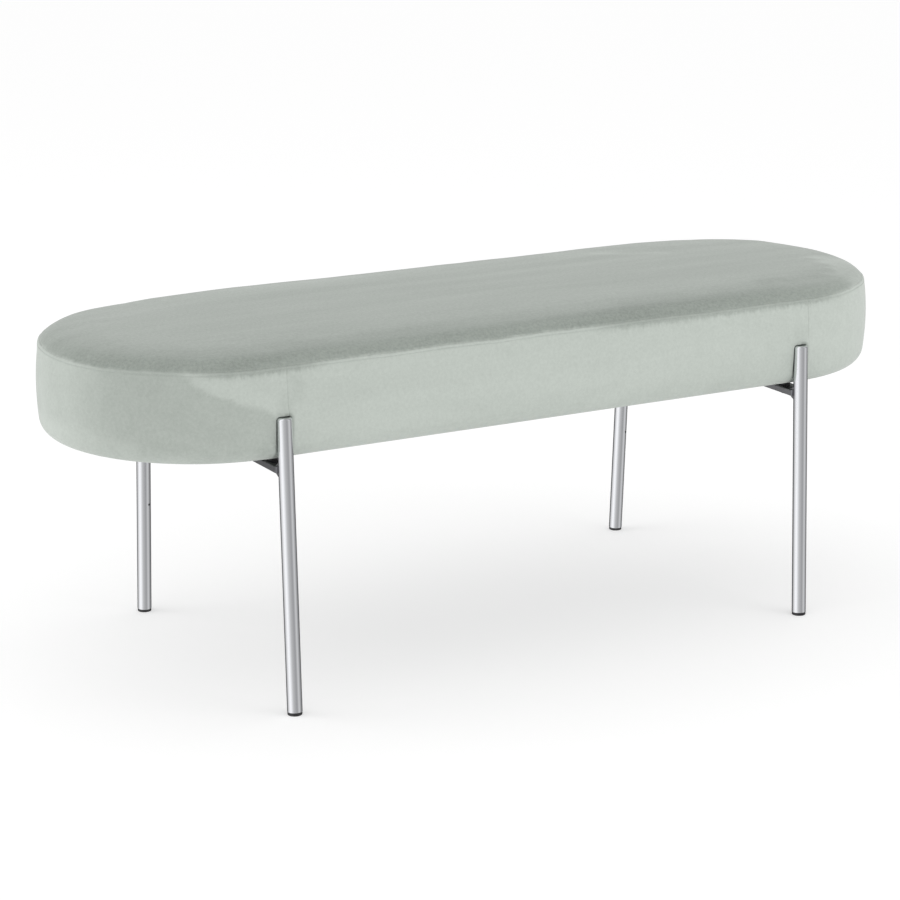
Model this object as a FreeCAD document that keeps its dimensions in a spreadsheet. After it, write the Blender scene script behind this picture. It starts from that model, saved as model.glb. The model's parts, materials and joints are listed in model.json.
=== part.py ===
import FreeCAD, Part
import math
import os
import re

import Sketcher
from FreeCAD import Placement, Rotation, Vector

# An upholstered bench seat with two straight sides and two round ends, carried on
# two steel leg frames. Millimetres. X runs along the bench, Y across it and Z up.
# The origin is on the floor, under the middle of the seat.

# Driving sizes, in millimetres and degrees
SIZES = {
    # Outer form of the upholstered seat
    "seat_length": 1200,
    "seat_width": 411,
    "seat_bottom": 315.5,
    "seat_top": 448.5,
    "side_swell_radius": 345,
    "side_swell_level": 373,
    "base_edge_radius": 20,
    "shoulder_radius": 36,
    "crown_radius": 4900,
    # Cloth cover and its seams
    "cloth_thickness": 2,
    "seam_level": 427,
    "seam_channel_radius": 1.4,
    "near_seam_reach": 376,
    "far_seam_reach": 397.5,
    "hem_edge_radius": 150,
    "leg_hollow_gap": 2,
    # Padding
    "wadding_thickness": 5,
    # Timber carcass
    "timber_outline_radius": 188,
    "base_board_thickness": 12,
    "base_board_edge_radius": 6,
    "rail_thickness": 18,
    "rail_height": 48,
    "deck_thickness": 9,
    "rib_reach": 330,
    # Deck screws
    "deck_screw_count": 14,
    "deck_screw_radius": 2,
    "deck_screw_length": 35,
    "screw_head_radius": 4,
    "screw_head_height": 2.5,
    # Dust cover and its staples
    "dust_cover_thickness": 0.8,
    "dust_cover_radius": 166,
    "staple_count": 42,
    "staple_line_radius": 162,
    "staple_width": 10,
    "staple_wire": 0.9,
    "staple_depth": 9,
    # Steel legs
    "leg_reach": 383,
    "foot_reach": 226,
    "splay_angle": 2.8,
    "leg_length": 371,
    "leg_diameter": 19,
    "leg_wall": 1.5,
    "vent_level": 154,
    "vent_diameter": 3.2,
    "vent_turn": 25,
    # Leg caps and floor glides
    "cap_height": 9,
    "cap_edge_radius": 3,
    "plug_depth": 14,
    "plug_clearance": 0.1,
    "glide_rim_height": 4,
    "glide_rim_inset": 0.3,
    "glide_edge_radius": 1.6,
    "glide_trim": 0.7,
    # Crossbars and their welds
    "bar_bottom": 302.5,
    "bar_height": 8,
    "bar_width": 25,
    "bar_corner_radius": 1.2,
    "bar_half_length": 206.5,
    "bead_size": 4.5,
    "bead_half_width": 9,
    # Fixings between the crossbars and the seat
    "fixing_reach": 176,
    "spacer_radius": 7.5,
    "bolt_radius": 3,
    "bolt_clearance": 0.4,
    "bolt_head_radius": 5.5,
    "bolt_head_height": 2.4,
    "bolt_head_chamfer": 1.4,
    "bolt_key_radius": 2.2,
    "bolt_key_depth": 1.4,
    "washer_radius": 6.5,
    "washer_thickness": 1,
    "insert_radius": 4.5,
}

ALONG = Vector(1, 0, 0)
UP = Vector(0, 0, 1)
ORIGIN_POINT = (-1, 1)
HORIZONTAL_AXIS = -1
VERTICAL_AXIS = -2
START_POINT = 1
END_POINT = 2
CENTRE_POINT = 3
SIDES = {"left": -1, "right": 1}
ENDS = {"front": -1, "back": 1}
MARGIN = 60
CLOSE = 0.1

DOC = FreeCAD.newDocument("Bench")
SHEET = DOC.addObject("Spreadsheet::Sheet", "Sizes")
for row, (alias, number) in enumerate(SIZES.items(), start=1):
    SHEET.set(f"A{row}", alias)
    SHEET.set(f"B{row}", str(number))
    SHEET.setAlias(f"B{row}", alias)
DOC.recompute()

PIECES = {}


# Formulas and document objects

def formula(text):
    """Write each size's name in the text as that size's cell in the sheet."""
    return re.sub(r"[a-z_]+", lambda word: f"Sizes.{word[0]}" if word[0] in SIZES else word[0], text)


def value(text):
    """The number that a formula gives."""
    return float(SHEET.evalExpression(formula(text)))


def bind(item, **sizes):
    """Bind properties of an object to formulas of the sheet's cells."""
    for name, text in sizes.items():
        item.setExpression(name, formula(text))
    return item


def add(kind, name, **sizes):
    """A new document object whose sizes follow formulas."""
    return bind(DOC.addObject(kind, name), **sizes)


def place(item, across="0", deep="0", high="0", frame=None):
    """Put an object at a place given by formulas, within a frame if one is given."""
    spot = Placement(Vector(value(across), value(deep), value(high)), Rotation())
    item.Placement = frame.multiply(spot) if frame else spot
    return item


def piece(name, item, solids=1):
    """Name an object as a piece of the bench, with the number of solids that it holds."""
    item.Label = name
    PIECES[name] = (item, solids)
    return item


def form(name, shape):
    """An object that holds a shape made with the part functions."""
    made = DOC.addObject("Part::Feature", name)
    made.Shape = shape
    made.Placement = Placement()
    return made


def join(kind, name, items):
    """A compound, a fusion or a common part of several objects."""
    made = DOC.addObject(kind, name)
    if kind == "Part::Compound":
        made.Links = list(items)
    else:
        made.Shapes = list(items)
    return made


def cut(name, base, *tools):
    """The base object with the tools taken away."""
    made = DOC.addObject("Part::Cut", name)
    made.Base = base
    made.Tool = tools[0] if len(tools) == 1 else join("Part::Compound", f"{name}_tools", tools)
    return made


# Sketches and the features made from them

def sketch_on(body, name, plane="XY_Plane"):
    """A sketch on one of the body's own origin planes."""
    sketch = body.newObject("Sketcher::SketchObject", name)
    support = next(part for part in body.Origin.OriginFeatures if part.Role == plane)
    sketch.AttachmentSupport = (support, "")
    sketch.MapMode = "FlatFace"
    return sketch


def dimension(sketch, text, kind, *ends):
    """A dimension in a sketch that follows a formula."""
    index = sketch.addConstraint(Sketcher.Constraint(kind, *ends, value(text)))
    sketch.setExpression(f"Constraints[{index}]", formula(text))


def hold(sketch, geometry, point, across, up):
    """Hold a sketch point at two formulas from the sketch's origin."""
    for kind, text, axis in (("DistanceX", across, VERTICAL_AXIS), ("DistanceY", up, HORIZONTAL_AXIS)):
        if value(text) == 0:
            sketch.addConstraint(Sketcher.Constraint("PointOnObject", geometry, point, axis))
        else:
            dimension(sketch, text, kind, *ORIGIN_POINT, geometry, point)


def outline(sketch, corners):
    """A closed outline of straight lines, its corners given as pairs of formulas."""
    points = [Vector(value(across), value(up), 0) for across, up in corners]
    lines = [sketch.addGeometry(Part.LineSegment(start, end))
             for start, end in zip(points, points[1:] + points[:1])]
    for line, following in zip(lines, lines[1:] + lines[:1]):
        sketch.addConstraint(Sketcher.Constraint("Coincident", line, END_POINT, following, START_POINT))
    for line, (across, up) in zip(lines, corners):
        hold(sketch, line, START_POINT, across, up)


def rectangle(sketch, half_width, half_height):
    """A rectangle about the sketch's origin."""
    outline(sketch, [(f"-({half_width})", f"-({half_height})"), (half_width, f"-({half_height})"),
                     (half_width, half_height), (f"-({half_width})", half_height)])


def circle(sketch, radius, across="0", up="0"):
    """A circle whose radius and centre follow formulas."""
    centre = Vector(value(across), value(up), 0)
    ring = sketch.addGeometry(Part.Circle(centre, UP, value(radius)))
    dimension(sketch, radius, "Radius", ring)
    hold(sketch, ring, CENTRE_POINT, across, up)


def stadium(sketch, radius):
    """Two straight sides and two half circles about the seat's end centres."""
    reach = value(SPINE)
    size = value(radius)
    quarter = math.pi / 2
    arcs = [Part.ArcOfCircle(Part.Circle(Vector(side * reach, 0, 0), UP, size),
                             -side * quarter, -side * quarter + math.pi) for side in (1, -1)]
    right, left = [sketch.addGeometry(arc) for arc in arcs]
    back = sketch.addGeometry(Part.LineSegment(Vector(reach, size, 0), Vector(-reach, size, 0)))
    front = sketch.addGeometry(Part.LineSegment(Vector(-reach, -size, 0), Vector(reach, -size, 0)))
    chain = [right, back, left, front]
    for curve, following in zip(chain, chain[1:] + chain[:1]):
        sketch.addConstraint(Sketcher.Constraint("Tangent", curve, END_POINT, following, START_POINT))
    hold(sketch, right, CENTRE_POINT, SPINE, "0")
    hold(sketch, left, CENTRE_POINT, f"-({SPINE})", "0")
    dimension(sketch, radius, "Radius", right)


def pad(body, sketch, length, midplane=False):
    """Pad a sketch by a length that follows a formula."""
    made = body.newObject("PartDesign::Pad", f"{body.Name}_pad")
    made.Profile = sketch
    made.Midplane = midplane
    return bind(made, Length=length)


def pocket_through(body, sketch):
    """Cut a sketch through the whole body, both ways from its plane, and see that it cuts."""
    DOC.recompute()
    solid_volume = body.Shape.Volume
    made = body.newObject("PartDesign::Pocket", f"{body.Name}_pocket")
    made.Profile = sketch
    made.Type = "ThroughAll"
    made.Midplane = True
    DOC.recompute()
    if made.Shape.Volume >= solid_volume:
        raise RuntimeError(f"{made.Name} cuts nothing")


def turned(name, corners):
    """A body turned about its Z axis from an outline in its XZ plane."""
    body = DOC.addObject("PartDesign::Body", name)
    profile = sketch_on(body, f"{name}_profile", "XZ_Plane")
    outline(profile, corners)
    made = body.newObject("PartDesign::Revolution", f"{name}_turning")
    made.Profile = profile
    made.ReferenceAxis = (profile, ["V_Axis"])
    made.Angle = 360
    return body


def round_edges(body, feature, radius, chosen):
    """Round the edges of a feature that a test picks."""
    DOC.recompute()
    names = [f"Edge{number}" for number, edge in enumerate(feature.Shape.Edges, start=1) if chosen(edge)]
    made = body.newObject("PartDesign::Fillet", f"{body.Name}_rounding")
    made.Base = (feature, names)
    return bind(made, Radius=radius)


def rim(level, shortest):
    """A test that picks the edges lying at a level of their body and longer than a size."""
    def lies_there(edge):
        box = edge.BoundBox
        return max(abs(box.ZMin - value(level)), abs(box.ZMax - value(level))) < CLOSE \
            and edge.Length > value(shortest)
    return lies_there


def slab(name, radius, thickness, level, holes=None):
    """A flat board or sheet of the seat's outline, with its fixing holes."""
    body = DOC.addObject("PartDesign::Body", name)
    plan = sketch_on(body, f"{name}_plan")
    stadium(plan, radius)
    pad(body, plan, thickness)
    if holes:
        drilling = sketch_on(body, f"{name}_holes")
        for side in SIDES.values():
            for end in ENDS.values():
                circle(drilling, holes, f"{side} * leg_reach", f"{end} * fixing_reach")
        pocket_through(body, drilling)
    return place(body, high=level)


# Formulas that several pieces share

SPINE = "(seat_length - seat_width) / 2"
BASE_BOARD_LEVEL = "seat_bottom + cloth_thickness"
RAIL_LEVEL = f"{BASE_BOARD_LEVEL} + base_board_thickness"
DECK_LEVEL = f"{RAIL_LEVEL} + rail_height"
FOAM_LEVEL = f"{DECK_LEVEL} + deck_thickness"
DUST_COVER_LEVEL = "seat_bottom - dust_cover_thickness"
BAR_TOP = "bar_bottom + bar_height"
BOLT_HOLE = "bolt_radius + bolt_clearance"
TUBE_BORE = "leg_diameter / 2 - leg_wall"
PLUG = f"{TUBE_BORE} - plug_clearance"
RAIL_INSIDE = "timber_outline_radius - rail_thickness"


# The seat's outer form

def crossing(first, first_radius, second, second_radius):
    """The point where two circles in the YZ plane cross, on the right going from first to second."""
    way = second - first
    along = (first_radius ** 2 - second_radius ** 2 + way.Length ** 2) / (2 * way.Length)
    across = math.sqrt(first_radius ** 2 - along ** 2)
    ahead = Vector(way).normalize()
    return first + ahead * along + Vector(0, ahead.z, -ahead.y) * across


def bearing(centre, point):
    """The angle of a point about a centre in the YZ plane."""
    return math.atan2(point.z - centre.z, point.y - centre.y)


def section_arc(centre, radius, start, end):
    """An arc in the YZ plane between two angles."""
    angles = (start, (start + end) / 2, end)
    return Part.Arc(*(centre + Vector(0, math.cos(a), math.sin(a)) * radius for a in angles)).toShape()


def seat_section(inset):
    """Half of the seat's cross-section, drawn in by an inset, as a face in the YZ plane.

    The underside is flat, the lower edge is a small arc, the side swells in one long arc up
    to the seam, and the shoulder above it runs smoothly into the crown.
    """
    base_radius = value("base_edge_radius")
    side_radius = value("side_swell_radius")
    shoulder_radius = value("shoulder_radius")
    crown_radius = value("crown_radius")
    side = Vector(0, value("seat_width / 2 - side_swell_radius"), value("side_swell_level"))
    crown = Vector(0, 0, value("seat_top - crown_radius"))
    rise = side.z - value("seat_bottom + base_edge_radius")
    reach = math.sqrt((side_radius - base_radius) ** 2 - rise ** 2)
    base = side + Vector(0, reach, -rise)
    seam_rise = value("seam_level") - side.z
    seam = side + Vector(0, math.sqrt(side_radius ** 2 - seam_rise ** 2), seam_rise)
    shoulder = crossing(seam, shoulder_radius, crown, crown_radius - shoulder_radius)
    corner = crossing(shoulder, shoulder_radius - inset, side, side_radius - inset)
    if inset == 0:
        corner = seam
    low = Vector(0, 0, value("seat_bottom") + inset)
    high = Vector(0, 0, value("seat_top") - inset)
    lower_turn = bearing(side, base)
    upper_turn = bearing(crown, shoulder)
    edges = [
        Part.makeLine(low, Vector(0, base.y, low.z)),
        section_arc(base, base_radius - inset, -math.pi / 2, lower_turn),
        section_arc(side, side_radius - inset, lower_turn, bearing(side, corner)),
        section_arc(shoulder, shoulder_radius - inset, bearing(shoulder, corner), upper_turn),
        section_arc(crown, crown_radius - inset, upper_turn, math.pi / 2),
        Part.makeLine(high, low),
    ]
    return Part.Face(Part.Wire(edges))


def around_seat(face):
    """Carry a face of the YZ half plane round the stadium: two straight runs and two half turns."""
    spine = value(SPINE)
    straight = face.translated(Vector(-spine, 0, 0)).extrude(ALONG * 2 * spine)
    end = face.translated(ALONG * spine).revolve(ALONG * spine, UP, -180)
    half_turn = Placement(Vector(), Rotation(UP, 180)).toMatrix()
    others = [end, straight.transformed(half_turn), end.transformed(half_turn)]
    return straight.fuse(others).removeSplitter()


def seam_channel():
    """The shallow round channel that the stitched seam draws into the cloth."""
    rise = value("seam_level - side_swell_level")
    out = math.sqrt(value("side_swell_radius") ** 2 - rise ** 2)
    middle = Vector(0, value("seat_width / 2 - side_swell_radius") + out, value("seam_level"))
    ring = Part.makeCircle(value("seam_channel_radius"), middle, ALONG)
    return around_seat(Part.Face(Part.Wire(ring)))


def seat_block(name, bottom):
    """A block that takes in all of the seat above a level."""
    made = add("Part::Box", name, Length=f"seat_length + {2 * MARGIN}",
               Width=f"seat_width + {2 * MARGIN}", Height="seat_top")
    return place(made, f"-seat_length / 2 - {MARGIN}", f"-seat_width / 2 - {MARGIN}", bottom)


# The frame of one leg, with its Z axis up the tube from the floor

def leg_frame(side, end):
    """The place of a leg: its foot on the floor, leaning in towards the seat."""
    foot = Vector(SIDES[side] * value("leg_reach"), ENDS[end] * value("foot_reach"), 0)
    turn = Rotation(UP, 0 if end == "front" else 180)
    return Placement(foot, turn.multiply(Rotation(ALONG, -value("splay_angle"))))


def leg_places():
    """Each leg's side, end and frame."""
    return [(side, end, leg_frame(side, end)) for side in SIDES for end in ENDS]


def leg_hollows(name, gap):
    """Round-ended cutters that clear the legs by a gap, where they lie against the seat."""
    hollows = []
    for side, end, frame in leg_places():
        title = f"{name}_{end}_{side}"
        body = turned(title, [("0", "bar_bottom - bar_height"),
                              (f"leg_diameter / 2 + {gap}", "bar_bottom - bar_height"),
                              (f"leg_diameter / 2 + {gap}", f"leg_length + {gap}"),
                              ("0", f"leg_length + {gap}")])
        round_edges(body, body.Tip, f"cap_edge_radius + {gap}", rim(f"leg_length + {gap}", "leg_diameter"))
        body.Placement = frame
        hollows.append(body)
    return join("Part::Compound", name, hollows)


# Where the staples and the deck screws go

def stations(radius, count):
    """Evenly spaced places on a stadium of a radius, each turned to follow its line."""
    spine = value(SPINE)
    straight = 2 * spine
    half = straight + math.pi * radius
    for number in range(count):
        side, way = divmod((number + 0.5) * 2 * half / count, half)
        turn = max(0, way - straight) / radius
        along = min(way, straight) - spine
        point = Vector(along + radius * math.sin(turn), -radius * math.cos(turn), 0)
        spot = Placement(point, Rotation(UP, math.degrees(turn)))
        yield Placement(Vector(), Rotation(UP, 180 * side)).multiply(spot)


def staples():
    """The staples that hold the dust cover, each a crown with two legs, as one compound."""
    width = value("staple_width")
    wire = value("staple_wire")
    level = value(DUST_COVER_LEVEL)
    crown = Part.makeBox(width, wire, wire, Vector(-width / 2, -wire / 2, level - wire))
    legs = [Part.makeBox(wire, wire, value("staple_depth"), Vector(x, -wire / 2, level))
            for x in (-width / 2, width / 2 - wire)]
    staple = crown.fuse(legs).removeSplitter()
    places = stations(value("staple_line_radius"), round(value("staple_count")))
    return Part.makeCompound([staple.transformed(spot.toMatrix()) for spot in places])


# Cloth cover

def turned_half_way(corners):
    """A plan's corners turned half way round the seat's middle."""
    return [(f"-({across})", f"-({up})") for across, up in corners]


outer_form = form("seat_outer_form", around_seat(seat_section(0)))
cloth_inside = form("cloth_inside_form", around_seat(seat_section(value("cloth_thickness"))))
padding_inset = value("cloth_thickness + wadding_thickness")
wadding_inside = form("wadding_inside_form", around_seat(seat_section(padding_inset)))
channel = form("seam_channel", seam_channel())
cover_staples = piece("cover_staples", form("cover_staples", staples()), round(value("staple_count")))
bare_hollows = leg_hollows("leg_hollow", "leg_hollow_gap")
lined_hollows = leg_hollows("lined_hollow", "(leg_hollow_gap + cloth_thickness)")
hem_opening = slab("hem_opening", "hem_edge_radius", "2 * cloth_thickness",
                   "seat_bottom - cloth_thickness")
bolt_ways = join("Part::Compound", "bolt_ways", [
    place(add("Part::Cylinder", f"bolt_way_{end}_{side}", Radius=BOLT_HOLE, Height="3 * bolt_radius"),
          f"{SIDES[side]} * leg_reach", f"{ENDS[end]} * fixing_reach", "seat_bottom - bolt_radius")
    for side in SIDES for end in ENDS])
cloth_outside = cut("cloth_outside", outer_form, bare_hollows)
cloth_core = cut("cloth_core", cloth_inside, lined_hollows)
cloth = cut("cloth", cloth_outside, cloth_core, channel, hem_opening, bolt_ways, cover_staples)

above_seam = seat_block("above_seam", "seam_level")
piece("top_cover", join("Part::MultiCommon", "top_cover", [cloth, above_seam]))
band = cut("side_band", cloth, above_seam)
front_plan = [("-near_seam_reach", "-seat_width"), ("far_seam_reach", "-seat_width"),
              ("far_seam_reach", "0"), ("-near_seam_reach", "0")]
right_plan = [("far_seam_reach", "-seat_width"), ("seat_length", "-seat_width"),
              ("seat_length", "seat_width"), ("near_seam_reach", "seat_width"),
              ("near_seam_reach", "0"), ("far_seam_reach", "0")]
for name, corners in (("front", front_plan), ("right", right_plan),
                      ("back", turned_half_way(front_plan)), ("left", turned_half_way(right_plan))):
    region = DOC.addObject("PartDesign::Body", f"{name}_band_region")
    plan = sketch_on(region, f"{name}_band_plan")
    outline(plan, corners)
    pad(region, plan, "seat_top")
    piece(f"side_band_{name}", join("Part::MultiCommon", f"side_band_{name}", [band, region]))


# Padding

timber_core = slab("timber_core", "timber_outline_radius", f"{FOAM_LEVEL} - ({BASE_BOARD_LEVEL})",
                   BASE_BOARD_LEVEL)
piece("wadding_wrap", cut("wadding_wrap", cloth_inside, wadding_inside, timber_core, lined_hollows))
above_deck = seat_block("above_deck", FOAM_LEVEL)
piece("seat_foam", join("Part::MultiCommon", "seat_foam", [wadding_inside, above_deck]))
piece("side_foam", cut("side_foam", wadding_inside, above_deck, timber_core, lined_hollows))


# Timber carcass

def deck_screw(number, spot):
    """A countersunk screw through the deck board, its head flush with the board's top."""
    head = add("Part::Cone", f"screw_head_{number}", Radius1="deck_screw_radius",
               Radius2="screw_head_radius", Height="screw_head_height")
    place(head, high=f"{FOAM_LEVEL} - screw_head_height", frame=spot)
    shank = add("Part::Cylinder", f"screw_shank_{number}", Radius="deck_screw_radius",
                Height="deck_screw_length - screw_head_height")
    place(shank, high=f"{FOAM_LEVEL} - deck_screw_length", frame=spot)
    return join("Part::MultiFuse", f"deck_screw_{number}", [head, shank])


screw_line = value("timber_outline_radius - rail_thickness / 2")
screw_count = round(value("deck_screw_count"))
screws = [deck_screw(number, spot) for number, spot in enumerate(stations(screw_line, screw_count), 1)]
deck_screws = piece("deck_screws", join("Part::Compound", "deck_screws", screws), screw_count)

board = slab("base_board_blank", "timber_outline_radius", "base_board_thickness",
             BASE_BOARD_LEVEL, holes="insert_radius")
round_edges(board, board.Tip, "base_board_edge_radius", rim("0", "seat_width"))
piece("base_board", cut("base_board", board, cover_staples))
deck = slab("deck_blank", "timber_outline_radius", "deck_thickness", DECK_LEVEL)
piece("deck_board", cut("deck_board", deck, deck_screws))

for end, sign in ENDS.items():
    rail = add("Part::Box", f"{end}_rail_blank", Length=f"2 * {SPINE}", Width="rail_thickness",
               Height="rail_height")
    place(rail, f"-{SPINE}", RAIL_INSIDE if sign > 0 else "-timber_outline_radius", RAIL_LEVEL)
    piece(f"{end}_rail", cut(f"{end}_rail", rail, deck_screws))

for side, sign in SIDES.items():
    round_wall = [add("Part::Cylinder", f"{side}_wall_{face}", Radius=radius, Height="rail_height")
                  for face, radius in (("outside", "timber_outline_radius"), ("inside", RAIL_INSIDE))]
    for half_disc in round_wall:
        half_disc.Angle = 180
        turn = Rotation(UP, -90 * sign)
        half_disc.Placement = Placement(Vector(sign * value(SPINE), 0, value(RAIL_LEVEL)), turn)
    piece(f"{side}_end_wall", cut(f"{side}_end_wall", round_wall[0], round_wall[1], deck_screws))

for name, across in (("left", "-rib_reach"), ("middle", "0"), ("right", "rib_reach")):
    rib = add("Part::Box", f"cross_rib_{name}", Length="rail_thickness", Width=f"2 * ({RAIL_INSIDE})",
              Height="rail_height")
    place(rib, f"{across} - rail_thickness / 2", f"-({RAIL_INSIDE})", RAIL_LEVEL)
    piece(f"cross_rib_{name}", rib)


# Dust cover under the seat

sheet = slab("dust_cover_blank", "dust_cover_radius", "dust_cover_thickness", DUST_COVER_LEVEL)
piece("dust_cover", cut("dust_cover", sheet, cover_staples))


# Legs, with their caps and floor glides

def leg_tube(name):
    """The plain round tube, from the glide's rim to the cap."""
    body = DOC.addObject("PartDesign::Body", f"{name}_tube")
    section = sketch_on(body, f"{name}_section")
    circle(section, "leg_diameter / 2")
    circle(section, TUBE_BORE)
    pad(body, section, "leg_length - cap_height - glide_rim_height")
    return place(body, high="glide_rim_height")


def vent(name):
    """A drill through the tube's inner wall, the hole that lets plating fluid out."""
    drill = add("Part::Cylinder", f"{name}_vent", Radius="vent_diameter / 2", Height="leg_diameter")
    aim = Rotation(UP, value("vent_turn")).multiply(Rotation(ALONG, -90))
    drill.Placement = Placement(UP * value("vent_level"), aim)
    return drill


def leg_cap(name):
    """The domed plug that closes the top of a leg."""
    body = turned(name, [("0", "-plug_depth"), (PLUG, "-plug_depth"), (PLUG, "0"),
                         ("leg_diameter / 2", "0"), ("leg_diameter / 2", "cap_height"),
                         ("0", "cap_height")])
    round_edges(body, body.Tip, "cap_edge_radius", rim("cap_height", "leg_diameter"))
    return body


def foot_glide(name):
    """The plastic plug under a leg, before it is trimmed level with the floor."""
    flange = "leg_diameter / 2 - glide_rim_inset"
    body = turned(f"{name}_blank", [("0", "-glide_trim"), (flange, "-glide_trim"),
                                    (flange, "glide_rim_height"), (PLUG, "glide_rim_height"),
                                    (PLUG, "glide_rim_height + plug_depth"),
                                    ("0", "glide_rim_height + plug_depth")])
    round_edges(body, body.Tip, "glide_edge_radius", rim("-glide_trim", "leg_diameter"))
    return body


below_floor = add("Part::Box", "below_floor", Length="2 * seat_length", Width="2 * seat_width",
                  Height="leg_diameter")
place(below_floor, "-seat_length", "-seat_width", "-leg_diameter")
for side, end, frame in leg_places():
    corner = f"{end}_{side}"
    leg = cut(f"leg_{corner}", leg_tube(f"leg_{corner}"), vent(f"leg_{corner}"))
    leg.Placement = frame
    piece(f"leg_{corner}", leg)
    piece(f"leg_cap_{corner}", place(leg_cap(f"leg_cap_{corner}"), high="leg_length - cap_height",
                                     frame=frame))
    glide = foot_glide(f"foot_glide_{corner}")
    glide.Placement = frame
    piece(f"foot_glide_{corner}", cut(f"foot_glide_{corner}", glide, below_floor))


# Crossbars, welded between the legs of each frame

def crossbar(side):
    """A flat steel bar across the underside of the seat, drilled for its two bolts."""
    body = DOC.addObject("PartDesign::Body", f"crossbar_{side}_blank")
    section = sketch_on(body, f"crossbar_{side}_section", "XZ_Plane")
    rectangle(section, "bar_width / 2", "bar_height / 2")
    pad(body, section, "2 * bar_half_length", midplane=True)
    edge_reach = value("bar_width / 2") - CLOSE
    round_edges(body, body.Tip, "bar_corner_radius",
                lambda edge: edge.BoundBox.YLength > value("bar_half_length")
                and abs(edge.CenterOfMass.x) > edge_reach)
    drilling = sketch_on(body, f"crossbar_{side}_drilling")
    for sign in ENDS.values():
        circle(drilling, BOLT_HOLE, "0", f"{sign} * fixing_reach")
    pocket_through(body, drilling)
    return place(body, f"{SIDES[side]} * leg_reach", "0", "bar_bottom + bar_height / 2")


def leg_rod(name, frame):
    """A solid rod that fills a leg tube's outline, to shape what meets the leg."""
    rod = add("Part::Cylinder", name, Radius="leg_diameter / 2", Height="leg_length")
    rod.Placement = frame
    return rod


def weld_bead(name, frame):
    """A collar of weld round the inner side of a leg, tapering above and below the bar."""
    wide = "leg_diameter / 2 + bead_size"
    narrow = "leg_diameter / 2"
    low = "bar_bottom / cos(splay_angle) - bead_size"
    skirt = add("Part::Cone", f"{name}_skirt", Radius1=narrow, Radius2=wide, Height="bead_size")
    waist = add("Part::Cylinder", f"{name}_waist", Radius=wide, Height="bar_height")
    crest = add("Part::Cone", f"{name}_crest", Radius1=wide, Radius2=narrow, Height="bead_size")
    place(skirt, high=low, frame=frame)
    place(waist, high=f"{low} + bead_size", frame=frame)
    place(crest, high=f"{low} + bead_size + bar_height", frame=frame)
    collar = join("Part::MultiFuse", f"{name}_collar", [skirt, waist, crest])
    slice_box = add("Part::Box", f"{name}_slice", Length="2 * bead_half_width", Width="leg_diameter",
                    Height="bar_height + 2 * bead_size")
    place(slice_box, "-bead_half_width", "0", low, frame=frame)
    return join("Part::MultiCommon", name, [collar, slice_box])


for side in SIDES:
    frames = {end: leg_frame(side, end) for end in ENDS}
    rods = [leg_rod(f"rod_{end}_{side}", frame) for end, frame in frames.items()]
    bar = cut(f"crossbar_{side}", crossbar(side), *rods)
    piece(f"crossbar_{side}", bar)
    envelope = add("Part::Box", f"bar_envelope_{side}", Length="bar_width",
                   Width="2 * bar_half_length", Height="bar_height")
    place(envelope, f"{SIDES[side]} * leg_reach - bar_width / 2", "-bar_half_length", "bar_bottom")
    beads = [weld_bead(f"weld_{end}_{side}", frame) for end, frame in frames.items()]
    collars = join("Part::Compound", f"weld_collars_{side}", beads)
    piece(f"weld_beads_{side}", cut(f"weld_beads_{side}", collars, envelope, *rods), len(beads))


# Fixings: spacers, washers, bolts and the threaded inserts that they go into

def drilled_disc(name, radius, bore, thickness):
    """A round disc or sleeve with a bore through it."""
    disc = add("Part::Cylinder", f"{name}_disc", Radius=radius, Height=thickness)
    hole = add("Part::Cylinder", f"{name}_bore", Radius=bore, Height=thickness)
    return cut(name, disc, hole)


def button_bolt(name):
    """A low round-headed bolt, with the head's seat at Z = 0 and a hexagon socket below."""
    chamfered = "bolt_head_radius - bolt_head_chamfer"
    blank = turned(f"{name}_blank", [("0", "-bolt_head_height"), (chamfered, "-bolt_head_height"),
                                     ("bolt_head_radius", "bolt_head_chamfer - bolt_head_height"),
                                     ("bolt_head_radius", "0"), ("bolt_radius", "0"),
                                     ("bolt_radius", BOLT_LENGTH), ("0", BOLT_LENGTH)])
    socket = add("Part::Prism", f"{name}_socket", Circumradius="bolt_key_radius",
                 Height="bolt_key_depth")
    place(socket, high="-bolt_head_height")
    return cut(name, blank, socket)


SPACER_HEIGHT = f"seat_bottom - ({BAR_TOP})"
BOLT_LENGTH = f"{RAIL_LEVEL} - bar_bottom"
fixings = {"frame_bolts": [], "bolt_washers": [], "threaded_inserts": []}
for side, side_sign in SIDES.items():
    for end, end_sign in ENDS.items():
        corner = f"{end}_{side}"
        spot = Placement(Vector(side_sign * value("leg_reach"), end_sign * value("fixing_reach"), 0),
                         Rotation())
        spacer = drilled_disc(f"bar_spacer_{corner}", "spacer_radius", BOLT_HOLE, SPACER_HEIGHT)
        piece(f"bar_spacer_{corner}", place(spacer, high=BAR_TOP, frame=spot))
        washer = drilled_disc(f"washer_{corner}", "washer_radius", BOLT_HOLE, "washer_thickness")
        fixings["bolt_washers"].append(place(washer, high="bar_bottom - washer_thickness", frame=spot))
        bolt = button_bolt(f"bolt_{corner}")
        fixings["frame_bolts"].append(place(bolt, high="bar_bottom - washer_thickness", frame=spot))
        insert = drilled_disc(f"insert_{corner}", "insert_radius", "bolt_radius", "base_board_thickness")
        fixings["threaded_inserts"].append(place(insert, high=BASE_BOARD_LEVEL, frame=spot))
for name, items in fixings.items():
    piece(name, join("Part::Compound", name, items), len(items))


# Check every object, then write one file for each piece

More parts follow.
